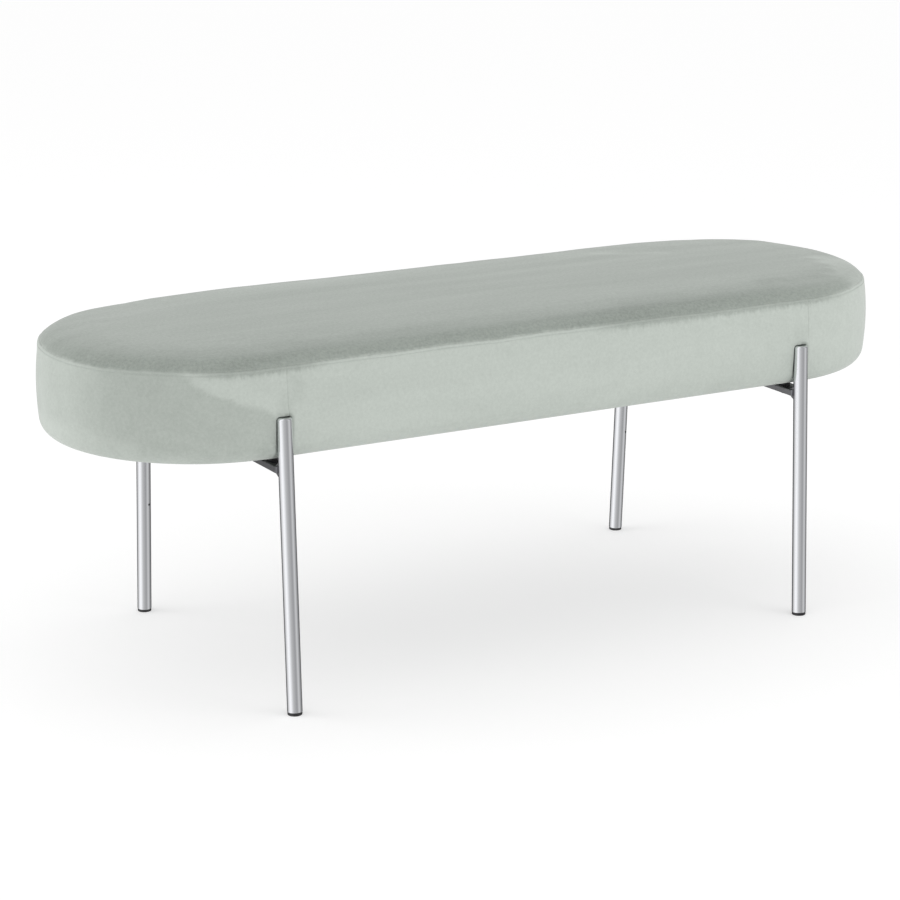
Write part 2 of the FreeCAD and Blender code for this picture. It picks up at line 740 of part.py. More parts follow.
DOC.recompute()
for item in DOC.Objects:
    if {"Invalid", "Error"} & set(item.State):
        raise RuntimeError(f"{item.Name} failed: {item.State}")
os.makedirs("parts", exist_ok=True)
for name, (item, solids) in PIECES.items():
    shape = item.Shape
    if shape.isNull() or not shape.isValid():
        raise RuntimeError(f"{name} has no valid shape")
    if len(shape.Solids) != solids:
        raise RuntimeError(f"{name} holds {len(shape.Solids)} solids, not {solids}")
    shape.exportStep(f"parts/{name}.step")
    box = shape.optimalBoundingBox()
    print(f"{name:24} {len(shape.Solids):3} solids {shape.Volume / 1000:9.1f} cm3   "
          f"Z {box.ZMin:6.1f} to {box.ZMax:6.1f}")
print(len(PIECES), "pieces")
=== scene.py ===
"""A long velvet bench with round ends on four chrome tube legs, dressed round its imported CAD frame."""

import json
import logging
import math
from dataclasses import dataclass, field
from enum import Enum
from typing import Callable, Iterable

import bmesh
import bpy
import numpy as np
from mathutils import Matrix, Vector, noise
from mathutils.bvhtree import BVHTree


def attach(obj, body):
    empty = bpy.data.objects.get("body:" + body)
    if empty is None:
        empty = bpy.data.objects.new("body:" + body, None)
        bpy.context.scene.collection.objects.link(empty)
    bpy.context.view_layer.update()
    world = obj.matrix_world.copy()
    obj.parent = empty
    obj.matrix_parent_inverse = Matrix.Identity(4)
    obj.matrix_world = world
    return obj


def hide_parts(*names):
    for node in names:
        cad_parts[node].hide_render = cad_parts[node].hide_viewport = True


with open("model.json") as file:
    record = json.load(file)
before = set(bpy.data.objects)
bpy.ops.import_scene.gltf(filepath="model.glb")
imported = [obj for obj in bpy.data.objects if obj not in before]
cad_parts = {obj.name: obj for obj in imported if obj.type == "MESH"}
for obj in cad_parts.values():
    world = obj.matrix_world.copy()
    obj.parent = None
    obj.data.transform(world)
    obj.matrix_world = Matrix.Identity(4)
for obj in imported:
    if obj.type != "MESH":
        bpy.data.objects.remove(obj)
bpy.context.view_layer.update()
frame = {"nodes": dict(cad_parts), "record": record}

log = logging.getLogger("bench")
BODY = "root"
MM = 0.001
HEM_POINTS = 200
ARC_POINTS = 400
FAR = 1.0
CLOSE = 0.01 * MM
WELD = 0.02 * MM
LOOSE = 0.1 * MM
TINY = 1e-7
Color = tuple[float, float, float]
Pair = tuple[float, float]


class Corner(Enum):
    """The four legs, each with the side of X and of Y that it stands on."""

    FRONT_LEFT = (-1, -1)
    BACK_LEFT = (-1, 1)
    FRONT_RIGHT = (1, -1)
    BACK_RIGHT = (1, 1)


class Panel(Enum):
    """The five sewn panels of the velvet cover, with the CAD node that each stands for."""

    TOP = "top_cover"
    FRONT = "side_band_front"
    RIGHT = "side_band_right"
    BACK = "side_band_back"
    LEFT = "side_band_left"


# Hand tools


def deselect() -> None:
    """Leave edit mode and select nothing."""
    if bpy.context.object and bpy.context.object.mode != "OBJECT":
        bpy.ops.object.mode_set(mode="OBJECT")
    bpy.ops.object.select_all(action="DESELECT")


def take(item: bpy.types.Object) -> bpy.types.Object:
    """Make one object the only one selected, and the active one.

    Args:
        item: the object.

    Returns:
        The same object.
    """
    deselect()
    item.select_set(True)
    bpy.context.view_layer.objects.active = item
    return item


def edit(item: bpy.types.Object, mode: str = "VERT") -> None:
    """Open one object in edit mode with nothing selected.

    Args:
        item: the object.
        mode: "VERT", "EDGE" or "FACE", for what can be selected.
    """
    take(item)
    bpy.ops.object.mode_set(mode="EDIT")
    bpy.ops.mesh.select_mode(type=mode)
    bpy.ops.mesh.select_all(action="DESELECT")


def pick(item: bpy.types.Object, parts: str, test: Callable) -> None:
    """Select the vertices, edges or faces of the open mesh that pass a test.

    Args:
        item: the object in edit mode.
        parts: "verts", "edges" or "faces".
        test: says of each part whether it is selected.
    """
    shape = bmesh.from_edit_mesh(item.data)
    for part in getattr(shape, parts):
        if test(part):
            part.select_set(True)
    shape.select_flush_mode()
    bmesh.update_edit_mesh(item.data)


def apply_modifier(item: bpy.types.Object, kind: str, **settings: object) -> None:
    """Add a modifier with its settings and apply it.

    Args:
        item: the object that it works on.
        kind: Blender's name for the modifier.
        settings: its values by name.
    """
    take(item)
    modifier = item.modifiers.new(kind.title(), kind)
    for name, setting in settings.items():
        setattr(modifier, name, setting)
    bpy.ops.object.modifier_apply(modifier=modifier.name)


def places(item: bpy.types.Object) -> np.ndarray:
    """The places of all vertices, one row each."""
    spots = np.empty(len(item.data.vertices) * 3)
    item.data.vertices.foreach_get("co", spots)
    return spots.reshape(-1, 3)


def put(item: bpy.types.Object, spots: np.ndarray) -> None:
    """Write the places of all vertices back."""
    item.data.vertices.foreach_set("co", np.ascontiguousarray(spots, dtype=np.float32).ravel())
    item.data.update()


def finish_piece(item: bpy.types.Object, name: str, material: bpy.types.Material,
                 smooth: float | None = None) -> bpy.types.Object:
    """Name a piece, dress it, smooth it and let it ride on the bench.

    Args:
        item: the finished mesh object.
        name: its name in the model.
        material: what it is made of.
        smooth: the angle in degrees up to which edges are smoothed, or None for all of them.

    Returns:
        The same object.
    """
    item.name = item.data.name = name
    item.data.materials.clear()
    item.data.materials.append(material)
    take(item)
    if smooth is None:
        bpy.ops.object.shade_smooth()
    else:
        bpy.ops.object.shade_smooth_by_angle(angle=math.radians(smooth))
    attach(item, BODY)
    log.info("%s: %d vertices, %d faces", name, len(item.data.vertices), len(item.data.polygons))
    return item


def close_up(item: bpy.types.Object) -> None:
    """Merge a mesh's doubled vertices and turn its faces outwards.

    Args:
        item: the mesh object.
    """
    edit(item)
    bpy.ops.mesh.select_all(action="SELECT")
    bpy.ops.mesh.remove_doubles(threshold=WELD)
    bpy.ops.mesh.normals_make_consistent(inside=False)
    bpy.ops.object.mode_set(mode="OBJECT")


def draw_chain(name: str, points: Iterable[tuple[float, float, float]]) -> bpy.types.Object:
    """Draw a chain of edges by extruding one point along it.

    Args:
        name: the new object's name.
        points: the places that the chain goes through.

    Returns:
        The object, still with an open chain.
    """
    points = [Vector(point) for point in points]
    deselect()
    bpy.ops.mesh.primitive_plane_add(size=MM)
    item = bpy.context.object
    item.name = name
    edit(item)
    pick(item, "verts", lambda vertex: vertex.index > 0)
    bpy.ops.mesh.delete(type="VERT")
    bpy.ops.mesh.select_all(action="SELECT")
    start = bmesh.from_edit_mesh(item.data).verts
    start.ensure_lookup_table()
    bpy.ops.transform.translate(value=points[0] - start[0].co)
    for before, after in zip(points, points[1:]):
        bpy.ops.mesh.extrude_region_move(TRANSFORM_OT_translate={"value": after - before})
    bpy.ops.object.mode_set(mode="OBJECT")
    return item


# Seat form


@dataclass(frozen=True)
class SeatForm:
    """The seat's outer form: one section carried round a straight spine with two half-round ends."""

    spine: float = 394.5 * MM
    half_width: float = 205.5 * MM
    bottom: float = 315.5 * MM
    top: float = 448.5 * MM
    side_radius: float = 345 * MM
    side_level: float = 373 * MM
    base_radius: float = 20 * MM
    shoulder_radius: float = 36 * MM
    crown_radius: float = 4900 * MM
    seam_level: float = 427 * MM
    near_seam: float = 376 * MM
    far_seam: float = 397.5 * MM

    def half_way(self) -> float:
        """Half the outline's length."""
        return 2 * self.spine + math.pi * self.half_width

    def band_panel(self, way: float) -> Panel:
        """Find the band panel at a place along the outline.

        Args:
            way: how far round the outline the place lies.

        Returns:
            The panel that it belongs to.
        """
        half = self.half_way()
        along = (way + self.near_seam) % (2 * half)
        for panel, end in ((Panel.FRONT, self.near_seam + self.far_seam), (Panel.RIGHT, half),
                           (Panel.BACK, half + self.near_seam + self.far_seam)):
            if along < end:
                return panel
        return Panel.LEFT

    def band_seam_gap(self, spots: np.ndarray) -> np.ndarray:
        """Measure along the outline to the nearest upright seam of the band.

        Args:
            spots: the places, one row each.

        Returns:
            Each place's distance.
        """
        half = self.half_way()
        way = around(spots, self)[2]
        gaps = [np.abs((way - seam + half / 2) % half - half / 2)
                for seam in (-self.near_seam, self.far_seam)]
        return np.minimum(*gaps)

    def side_reach(self, level: float) -> float:
        """How far the side stands from the spine at a level."""
        rise = level - self.side_level
        return self.half_width - self.side_radius + math.sqrt(self.side_radius ** 2 - rise ** 2)

    def base_centre(self) -> tuple[float, float]:
        """The centre of the rounded lower edge, in reach and level."""
        rise = self.side_level - self.bottom - self.base_radius
        span = math.sqrt((self.side_radius - self.base_radius) ** 2 - rise ** 2)
        return self.half_width - self.side_radius + span, self.bottom + self.base_radius

    def shoulder_centre(self) -> tuple[float, float]:
        """The centre of the shoulder, which touches the crown and starts at the seam."""
        seam = np.array([self.side_reach(self.seam_level), self.seam_level])
        crown = np.array([0.0, self.top - self.crown_radius])
        way = crown - seam
        span = np.hypot(*way)
        near = self.shoulder_radius
        far = self.crown_radius - self.shoulder_radius
        along = (near ** 2 - far ** 2 + span ** 2) / (2 * span)
        aside = math.sqrt(near ** 2 - along ** 2)
        way /= span
        centre = seam + way * along + np.array([way[1], -way[0]]) * aside
        return float(centre[0]), float(centre[1])

    def trace(self, hem_reach: float, inset: float = 0.0) -> np.ndarray:
        """The section from the hem under the seat to the middle of the top.

        Args:
            hem_reach: where it starts, from the spine.
            inset: how far inside the outer form it runs.

        Returns:
            Rows of reach, level and the outward normal's two parts, close together.
        """
        base, shoulder = self.base_centre(), self.shoulder_centre()
        side = (self.half_width - self.side_radius, self.side_level)
        crown = (0.0, self.top - self.crown_radius)
        seam = (self.side_reach(self.seam_level), self.seam_level)

        def bearing(centre: tuple, point: tuple) -> float:
            """The direction from a centre to a point."""
            return math.atan2(point[1] - centre[1], point[0] - centre[0])

        rows = [(reach, self.bottom + inset, 0.0, -1.0)
                for reach in np.linspace(hem_reach, base[0], HEM_POINTS, endpoint=False)]
        for centre, radius, start, end in (
                (base, self.base_radius, -math.pi / 2, bearing(side, base)),
                (side, self.side_radius, bearing(side, base), bearing(side, seam)),
                (shoulder, self.shoulder_radius, bearing(shoulder, seam), bearing(crown, shoulder)),
                (crown, self.crown_radius, bearing(crown, shoulder), math.pi / 2)):
            for turn in np.linspace(start, end, ARC_POINTS):
                across, up = math.cos(turn), math.sin(turn)
                rows.append((centre[0] + (radius - inset) * across, centre[1] + (radius - inset) * up,
                             across, up))
        return np.array(rows)


def run_length(section: np.ndarray) -> np.ndarray:
    """How far along its own line each row of a section lies."""
    return np.concatenate([[0.0], np.cumsum(np.hypot(*np.diff(section[:, :2], axis=0).T))])


def sample(section: np.ndarray, along: np.ndarray, stops: np.ndarray) -> np.ndarray:
    """A section's rows at some distances along it."""
    return np.column_stack([np.interp(stops, along, column) for column in section.T])


def smooth_step(amount: np.ndarray, start: float, end: float) -> np.ndarray:
    """A share that rises softly from 0 at one amount to 1 at another."""
    share = np.clip((amount - start) / (end - start), 0, 1)
    return share * share * (3 - 2 * share)


def cloud(spots: np.ndarray, shift: float = 0.0) -> np.ndarray:
    """Soft noise from -1 to 1 at some places, another one for each shift."""
    return np.array([noise.noise(Vector(spot)) for spot in spots + shift])


def carry_round(item: bpy.types.Object, form: SeatForm, lengths: int, cuts: int,
                turns: Iterable[tuple[float, int]]) -> bpy.types.Object:
    """Carry a section drawn at the spine's left end along the front, round both ends and back.

    Args:
        item: the section, a chain of edges.
        form: the seat's form.
        lengths: how many lengths the straight side is extruded in.
        cuts: how many cuts go into each length.
        turns: the degrees and steps of each part of a half-round end.

    Returns:
        The same object, now one closed ring of faces.
    """
    stride = 2 * form.spine / lengths
    edit(item)
    bpy.ops.mesh.select_all(action="SELECT")
    for _ in range(lengths):
        bpy.ops.mesh.extrude_region_move(TRANSFORM_OT_translate={"value": (stride, 0, 0)})
    for degrees, steps in turns:
        bpy.ops.mesh.spin(steps=steps, angle=-math.radians(degrees), center=(form.spine, 0, 0),
                          axis=(0, 0, 1))
    bpy.ops.mesh.select_all(action="DESELECT")
    bpy.ops.mesh.select_mode(type="EDGE")
    pick(item, "edges", lambda edge: abs(abs(edge.verts[0].co.x - edge.verts[1].co.x) - stride) < LOOSE
         and max(abs(vertex.co.x) for vertex in edge.verts) < form.spine + LOOSE)
    bpy.ops.mesh.subdivide(number_cuts=cuts)
    bpy.ops.object.mode_set(mode="OBJECT")
    take(item)
    bpy.ops.object.duplicate()
    bpy.ops.transform.rotate(value=math.pi, orient_axis="Z", center_override=(0, 0, 0))
    bpy.ops.object.transform_apply(location=True, rotation=True, scale=True)
    item.select_set(True)
    bpy.context.view_layer.objects.active = item
    bpy.ops.object.join()
    close_up(item)
    return item


# Skins carried round the seat


def around(spots: np.ndarray, form: SeatForm) -> tuple[np.ndarray, np.ndarray, np.ndarray]:
    """Where places lie with regard to the spine.

    Args:
        spots: the places, one row each.
        form: the seat's form.

    Returns:
        Each place's reach from the spine, its outward direction in plan, and how far along the
        outline it lies, from the middle of the front round by the right end.
    """
    nearest = np.clip(spots[:, 0], -form.spine, form.spine)
    away = np.column_stack([spots[:, 0] - nearest, spots[:, 1]])
    reach = np.hypot(*away.T)
    outward = np.divide(away, reach[:, None], out=np.zeros_like(away), where=reach[:, None] > TINY)
    turn = np.arctan2(outward[:, 1], outward[:, 0])
    right = form.spine + form.half_width * (turn + math.pi / 2)
    left = 3 * form.spine + form.half_width * (np.where(turn < 0, turn + 2 * math.pi, turn) + math.pi / 2)
    back = 2 * form.spine + math.pi * form.half_width - nearest
    on_side = np.abs(spots[:, 0]) <= form.spine
    way = np.where(spots[:, 0] > 0, right, left)
    way = np.where(on_side & (spots[:, 1] < 0), nearest, way)
    return reach, outward, np.where(on_side & (spots[:, 1] >= 0), back, way)


@dataclass
class RoundSkin:
    """A skin carried round the seat, with where each of its vertices lies on it."""

    form: SeatForm
    name: str
    lines: np.ndarray
    stops: np.ndarray
    lengths: int = 2
    cuts: int = 60
    turns: tuple = ((180.0, 72),)
    columns: np.ndarray | None = None

    def draw(self) -> bpy.types.Object:
        """Draw the section, carry it round and work out where each vertex lies."""
        self.item = draw_chain(self.name, [(-self.form.spine, -r, z) for r, z in self.lines[:, :2]])
        carry_round(self.item, self.form, self.lengths, self.cuts, self.turns)
        self.spots = places(self.item)
        if self.columns is not None:
            straight = np.abs(self.spots[:, 0]) < self.form.spine + CLOSE
            total = len(self.columns) - 1
            index = np.rint((self.spots[:, 0] / self.form.spine + 1) / 2 * total).astype(int)
            self.spots[straight, 0] = self.columns[index[straight]]
        reach, self.outward, self.way = around(self.spots, self.form)
        row = np.argmin((reach[:, None] - self.lines[None, :, 0]) ** 2
                        + (self.spots[:, 2][:, None] - self.lines[None, :, 1]) ** 2, axis=1)
        self.stop = self.stops[row]
        self.normal = np.column_stack([self.outward * self.lines[row, 2][:, None], self.lines[row, 3]])
        return self.item

    def even_out(self, amount: np.ndarray, rounds: int) -> np.ndarray:
        """Average a value over each vertex's neighbours.

        Args:
            amount: the value at each vertex.
            rounds: how many times it is averaged.

        Returns:
            The evened values.
        """
        ends = np.empty(len(self.item.data.edges) * 2, dtype=int)
        self.item.data.edges.foreach_get("vertices", ends)
        ends = ends.reshape(-1, 2)
        count = np.bincount(ends.ravel(), minlength=len(amount))
        for _ in range(rounds):
            total = np.bincount(ends[:, 0], amount[ends[:, 1]], minlength=len(amount))
            total += np.bincount(ends[:, 1], amount[ends[:, 0]], minlength=len(amount))
            amount = 0.5 * amount + 0.5 * total / count
        return amount


# Padding under the cover, swollen by simulation


@dataclass
class SwollenPad:
    """The upholstered seat as one soft body that swells between its seams and the legs' hollows."""

    form: SeatForm
    inset: float = 2 * MM
    row_spacing: float = 6 * MM
    voxel: float = 6 * MM
    pressure: float = 4.0
    frames: int = 20
    steps_a_frame: int = 5
    seam_lift: float = 2 * MM
    held_width: float = 5 * MM
    shoulder_depth: float = 40 * MM
    side_depth: float = 22 * MM
    base_hold: float = 16 * MM
    base_fade: float = 8 * MM
    upright_hold: float = 0.7
    leg_reach: float = 383 * MM
    leg_hold: float = 19 * MM
    hollow_top: float = 378 * MM
    cap: float = 3.2 * MM
    feeler: float = 40 * MM
    evening_rounds: int = 10

    def build(self) -> bpy.types.Object:
        """Make the pad and swell it."""
        section = self.form.trace(0.0, self.inset)
        along = run_length(section)
        stops = np.linspace(0, along[-1], round(along[-1] / self.row_spacing))
        skin = RoundSkin(self.form, "soft_pad", sample(section, along, stops), stops, turns=((180.0, 96),))
        self.item = skin.draw()
        apply_modifier(self.item, "REMESH", mode="VOXEL", voxel_size=self.voxel)
        self.swell()
        return self.item

    def hold(self, spots: np.ndarray) -> np.ndarray:
        """Say how firmly places are held: by the seams, by the base and beside the legs.

        Args:
            spots: the places, one row each.

        Returns:
            Each place's hold, from 0 to 1.
        """
        reach = around(spots, self.form)[0]
        level = spots[:, 2]
        side = reach > self.form.half_width - self.side_depth
        held = np.exp(-((level - self.form.seam_level - self.seam_lift) / self.held_width) ** 2)
        held = np.where(reach > self.form.half_width - self.shoulder_depth, held, 0)
        base = np.clip((self.form.bottom + self.base_hold - level) / self.base_fade, 0, 1)
        upright = np.exp(-(self.form.band_seam_gap(spots) / self.held_width) ** 2)
        held = np.maximum(np.maximum(held, base), self.upright_hold * side * upright)
        for end in (-1, 1):
            near = np.exp(-((spots[:, 0] - end * self.leg_reach) / self.leg_hold) ** 4)
            held = np.maximum(held, near * side * (level < self.hollow_top))
        return np.round(held, 2)

    def swell(self) -> None:
        """Run the cloth simulation on the pad, held along its seams, and apply it."""
        held = self.hold(places(self.item))
        group = self.item.vertex_groups.new(name="held")
        for weight in np.unique(held[held > 0]):
            group.add([int(index) for index in np.nonzero(held == weight)[0]], float(weight), "REPLACE")
        take(self.item)
        cloth = self.item.modifiers.new("Cloth", "CLOTH")
        cloth.settings.quality = self.steps_a_frame
        cloth.settings.use_pressure = True
        cloth.settings.uniform_pressure_force = self.pressure
        cloth.settings.effector_weights.gravity = 0
        cloth.settings.vertex_group_mass = "held"
        cloth.point_cache.frame_end = self.frames
        for number in range(1, self.frames + 1):
            bpy.context.scene.frame_set(number)
        bpy.ops.object.modifier_apply(modifier=cloth.name)
        bpy.context.scene.frame_set(1)

    def fullness(self, skin: RoundSkin, inset: float) -> np.ndarray:
        """How much further out the swollen pad lies under each vertex of a skin, up to the cap.

        Args:
            skin: the skin to be fitted over the pad.
            inset: how far inside the seat's form the skin is drawn.

        Returns:
            A distance for each vertex.
        """
        tree = BVHTree.FromObject(self.item, bpy.context.evaluated_depsgraph_get())
        amount = np.zeros(len(skin.spots))
        for number, (start, aim) in enumerate(zip(skin.spots + skin.normal * self.feeler, -skin.normal)):
            if aim.any():
                away = tree.ray_cast(Vector(start), Vector(aim), 2 * self.feeler)[3]
                amount[number] = self.feeler - inset + self.inset - away if away is not None else 0
        amount = skin.even_out(np.maximum(amount, 0), self.evening_rounds)
        return self.cap * np.tanh(amount / self.cap)


@dataclass
class LegHollows:
    """The four round-ended hollows in the seat's sides that the legs lie in."""

    leg_reach: float = 383 * MM
    foot_reach: float = 226 * MM
    splay: float = math.radians(2.8)
    leg_length: float = 371 * MM
    leg_radius: float = 9.5 * MM
    cap_edge: float = 3 * MM
    gap: float = 0.5 * MM
    radius: float = 10.2 * MM
    edge: float = 3.6 * MM
    depth: float = 60 * MM
    lip_radius: float = 1.4 * MM
    squeeze: float = 2.5 * MM
    squeeze_width: float = 9 * MM

    def leg_axes(self, corner: Corner) -> tuple[np.ndarray, np.ndarray, np.ndarray]:
        """Find where a leg stands and which way it runs.

        Args:
            corner: the leg.

        Returns:
            Its place on the floor, the way up along it and the way outwards across it.
        """
        side, end = corner.value
        foot = np.array([side * self.leg_reach, end * self.foot_reach, 0])
        lean = np.array([0, -end * math.sin(self.splay), math.cos(self.splay)])
        return foot, lean, np.array([0, end * math.cos(self.splay), math.sin(self.splay)])

    def nearness(self, spots: np.ndarray) -> np.ndarray:
        """Measure how near places lie to the legs.

        Args:
            spots: the places, one row each.

        Returns:
            How far each lies beside or above the outline of the nearest leg.
        """
        nearest = np.full(len(spots), FAR)
        for corner in Corner:
            foot, lean, _ = self.leg_axes(corner)
            away = spots - foot
            over = np.clip(away @ lean - self.leg_length + self.cap_edge, 0, None)
            aside = np.clip(np.abs(away[:, 0]) - self.leg_radius + self.cap_edge, 0, None)
            gap = np.hypot(aside, over) - self.cap_edge
            nearest = np.minimum(nearest, np.where(np.abs(away[:, 1]) < self.depth, gap, FAR))
        return nearest

    def press(self, spots: np.ndarray, extra: float = 0.0) -> np.ndarray:
        """Press the hollows into a skin.

        Args:
            spots: the skin's places.
            extra: how much wider than the cover's own hollows these are.

        Returns:
            The places with the hollows pressed in.
        """
        top = self.leg_length + self.gap + extra
        edge = self.edge + extra
        for corner in Corner:
            foot, lean, outside = self.leg_axes(corner)
            away = spots - foot
            across, high, deep = away[:, 0], away @ lean, away @ outside
            rounding = np.clip((high - top + edge) / edge, 0, 1)
            radius = self.radius + extra - edge * (1 - np.sqrt(1 - rounding ** 2))
            inside = (np.abs(across) < radius) & (high < top) & (deep > -self.depth)
            floor = -np.sqrt(np.maximum(radius ** 2 - across ** 2, 0))
            excess = deep - floor
            push = np.where(inside, -0.5 * (excess + np.hypot(excess, self.lip_radius)), 0)
            spots = spots + push[:, None] * outside
        return spots


# Velvet cover


@dataclass(frozen=True)
class Stroke:
    """A brush stroke on the top: where it runs, in millimetres, its half width and the change of tone."""

    start: Pair
    end: Pair
    width: float
    change: float


@dataclass
class PileWithPaintedLight:
    """How the velvet's pile lies, with painted shade and highlights: long hand strokes, brushed patches, the
    seam's fringe.

    Places are in millimetres: along X and Y, round the outline (way), upwards (level) and along the
    section from the seam's crease (rise). Changes of tone are shares of the way from dark to light.
    """

    form: SeatForm
    skin: RoundSkin
    crease: float
    hollows: LegHollows
    # Noise that frays the edges
    wander_scale: float = 22
    ragged_scale: float = 75
    # Tones of the top and the side band; the top's darker tone is partly pile, partly painted shade
    top_tone: float = 0.355
    side_tone: float = 0.635
    # The top's sweeps, painted shade along its front edge and a painted sheen towards its back
    reach_wander: float = 7
    sweep_tone: float = 0.055
    sweep_bend: float = 60
    sweep_start: float = -600
    sweep_fade: float = 180
    sweep_sizes: Pair = (26, 420)
    far_painted_sheen: float = 0.03
    far_sheen_depths: Pair = (-40, 170)
    front_painted_shade: float = 0.165
    front_ragged: float = 6
    front_sweep: float = 5
    front_reach: Pair = (116, 188)
    front_shade: tuple = ((-920, 0), (-795, 0.2), (-700, 0.4), (-620, 0.65), (-380, 0.75), (-200, 0.7),
                          (0, 0.75), (130, 1.0), (330, 0.9), (420, 0.6), (560, 0.4), (660, 0))
    # Strokes on the top
    strokes: tuple = (Stroke((262, 122), (364, 78), 8, 0.10), Stroke((205, 135), (300, 122), 16, 0.04),
                      Stroke((270, 150), (400, 112), 12, -0.04), Stroke((358, -142), (402, -136), 14, -0.08),
                      Stroke((400, -150), (470, -132), 16, -0.03))
    stroke_wander: float = 4
    # The brushed patch on the right end
    end_patch_tone: float = 0.17
    end_patch_reach: float = 132
    end_patch_turns: tuple = (-58, -14, 8)
    end_patch_edge: Pair = (-8, 10)
    end_patch_growth: float = 0.75
    end_patch_turn: float = 15
    ray_reach: float = 5
    ray_count: float = 26
    ray_ragged: float = 6
    # The fringe under the seam's lip
    fringes: tuple = ((-480, -335, 30), (80, 450, 40))
    # The side band's unevenness, darker towards the bottom, and painted light low on its left end
    uneven_tone: float = 0.015
    mottle_scale: tuple = (1 / 38, 1 / 17, 1)
    rubbed_scale: tuple = (1 / 12, 1 / 60, 1)
    rubbed_ways: tuple = (70, 460, 40)
    low_tone: float = 0.03
    low_levels: Pair = (328, 352)
    blotch_levels: Pair = (350, 385)
    blotch_shares: Pair = (0.0, 0.5)
    left_end_painted_light: float = 0.1
    left_end_light_ways: Pair = (600, 690)
    left_end_light_levels: Pair = (335, 362)
    # The brushed wedge on the left end
    wedge_dark: float = 0.15
    wedge_light: float = 0.03
    wedge_start: Pair = (-675, -575)
    wedge_edge: float = -396
    wedge_soft: Pair = (-8, 10)
    wedge_levels: Pair = (375, 410)
    wedge_slopes: Pair = (2.5, 1.2)
    wedge_wander: float = 9
    wedge_ragged: float = 6
    wedge_low: Pair = (-349, -321)
    wedge_low_way: float = -560
    wedge_low_slope: float = 0.14
    feather_reach: float = 9
    feather_sizes: Pair = (9, 34)
    feather_slant: float = 0.8
    bright_reach: tuple = (4, 60, 14)
    bright_levels: tuple = (372, 425, 8)
    bright_end: float = -385
    # Painted shade of a soft fold above the front-left leg and painted shade over the front legs' tops
    fold_painted_shade: float = 0.06
    fold_shade_ways: tuple = (-371, -354, 4)
    fold_shade_levels: tuple = (386, 421, 6)
    fold_shade_wander: float = 0.4
    leg_tops: tuple = ((-380, 384), (386, 384))
    leg_top_tone: float = 0.05
    leg_top_size: Pair = (13, 17)
    leg_top_fade: Pair = (0.5, 1.25)
    leg_top_ragged: float = 0.2
    # Patches on the back
    back_tone: float = 0.07
    back_depths: Pair = (0, 60)
    back_shares: Pair = (-0.05, 0.35)
    back_sizes: tuple = (120, 60, 1)
    # Painted shade in the upright seams' and the stitches' grooves, a painted highlight on the seam's lip
    upright_seam_shade: float = 0.01
    seam_width: float = 1.1
    stitch_groove_shade: float = 0.035
    stitch_rise: float = -4.7
    stitch_width: float = 0.9
    lip_painted_highlight: float = 0.06
    lip_rise: float = -1.6
    lip_width: float = 1.1
    # Shade in and round the legs' hollows
    rim_tone: float = 0.2
    rim_widths: Pair = (0.6, 2.4)
    halo_tone: float = 0.07
    halo_widths: Pair = (1.5, 8)
    shadow_ways: Pair = (-371, 395)
    shadow_reach: float = 12
    shadow_widths: Pair = (2.8, 5.6)

    def paint(self) -> None:
        """Paint the pile's lie with its painted shade and highlights, from 0, dark, to 1, light, as
        attributes of the mesh.
        """
        self.x, self.y, self.level = self.skin.spots.T / MM
        half = self.form.half_way()
        self.way = ((self.skin.way + half) % (2 * half) - half) / MM
        self.rise = (self.skin.stop - self.crease) / MM
        self.wander = cloud(self.skin.spots * self.wander_scale, 3)
        self.ragged = cloud(self.skin.spots * self.ragged_scale, 1)
        layers = {"nap_top": self.top(), "nap_side": self.side(), "nap_edge": self.rise,
                  "nap_fray": self.fringe()}
        for name, tones in layers.items():
            layer = self.skin.item.data.attributes.new(name, "FLOAT", "POINT")
            layer.data.foreach_set("value", tones.astype(np.float32))

    @staticmethod
    def band(amount: np.ndarray, start: float, end: float, soft: float) -> np.ndarray:
        """A share of 1 between two amounts, fading out softly on both sides."""
        return smooth_step(amount, start - soft, start + soft) - smooth_step(amount, end - soft, end + soft)

    @staticmethod
    def below(amount: np.ndarray, span: Pair) -> np.ndarray:
        """A share that falls softly from 1 at the lower end of a span to 0 at its upper end."""
        return smooth_step(-amount, -span[1], -span[0])

    @staticmethod
    def line(amount: np.ndarray, centre: float, width: float) -> np.ndarray:
        """A share of 1 on a fine line, fading out on both sides."""
        return np.exp(-((amount - centre) / width) ** 2)

    def fringe(self) -> np.ndarray:
        """Where the pile under the seam's lip lies dark, frayed downwards."""
        return np.maximum(*(self.band(self.way, *fringe) for fringe in self.fringes))

    def brush(self, stroke: Stroke) -> np.ndarray:
        """Lay one brush stroke on the top.

        Args:
            stroke: where and how strongly the pile is brushed.

        Returns:
            The change of tone at each vertex.
        """
        aim = np.subtract(stroke.end, stroke.start)
        length = np.hypot(*aim)
        aim = aim / length
        away = np.column_stack([self.x - stroke.start[0], self.y - stroke.start[1]])
        aside = away @ np.array([-aim[1], aim[0]]) + self.stroke_wander * self.wander
        ends = self.band(away @ aim, 0, length, stroke.width)
        return stroke.change * np.exp(-(aside / stroke.width) ** 2) * ends

    def top(self) -> np.ndarray:
        """The top panel's tone: long sweeps and a few strokes of the pile, painted shade along its front
        edge, a painted sheen at its back.
        """
        reach = around(self.skin.spots, self.form)[0] / MM + self.reach_wander * self.wander
        from_left = np.clip(self.x - self.sweep_start, 0, None)
        sweep = self.y - self.sweep_bend * (1 - np.exp(-from_left / self.sweep_fade))
        wide, long = self.sweep_sizes
        sweeps = cloud(np.column_stack([sweep / wide, self.x / long, np.zeros(len(sweep))]))
        # the top's base tone: partly the pile's lie, partly painted shade
        tone = self.top_tone + self.sweep_tone * sweeps
        # painted sheen, lighter towards the top's back
        tone += self.far_painted_sheen * smooth_step(self.y, *self.far_sheen_depths)
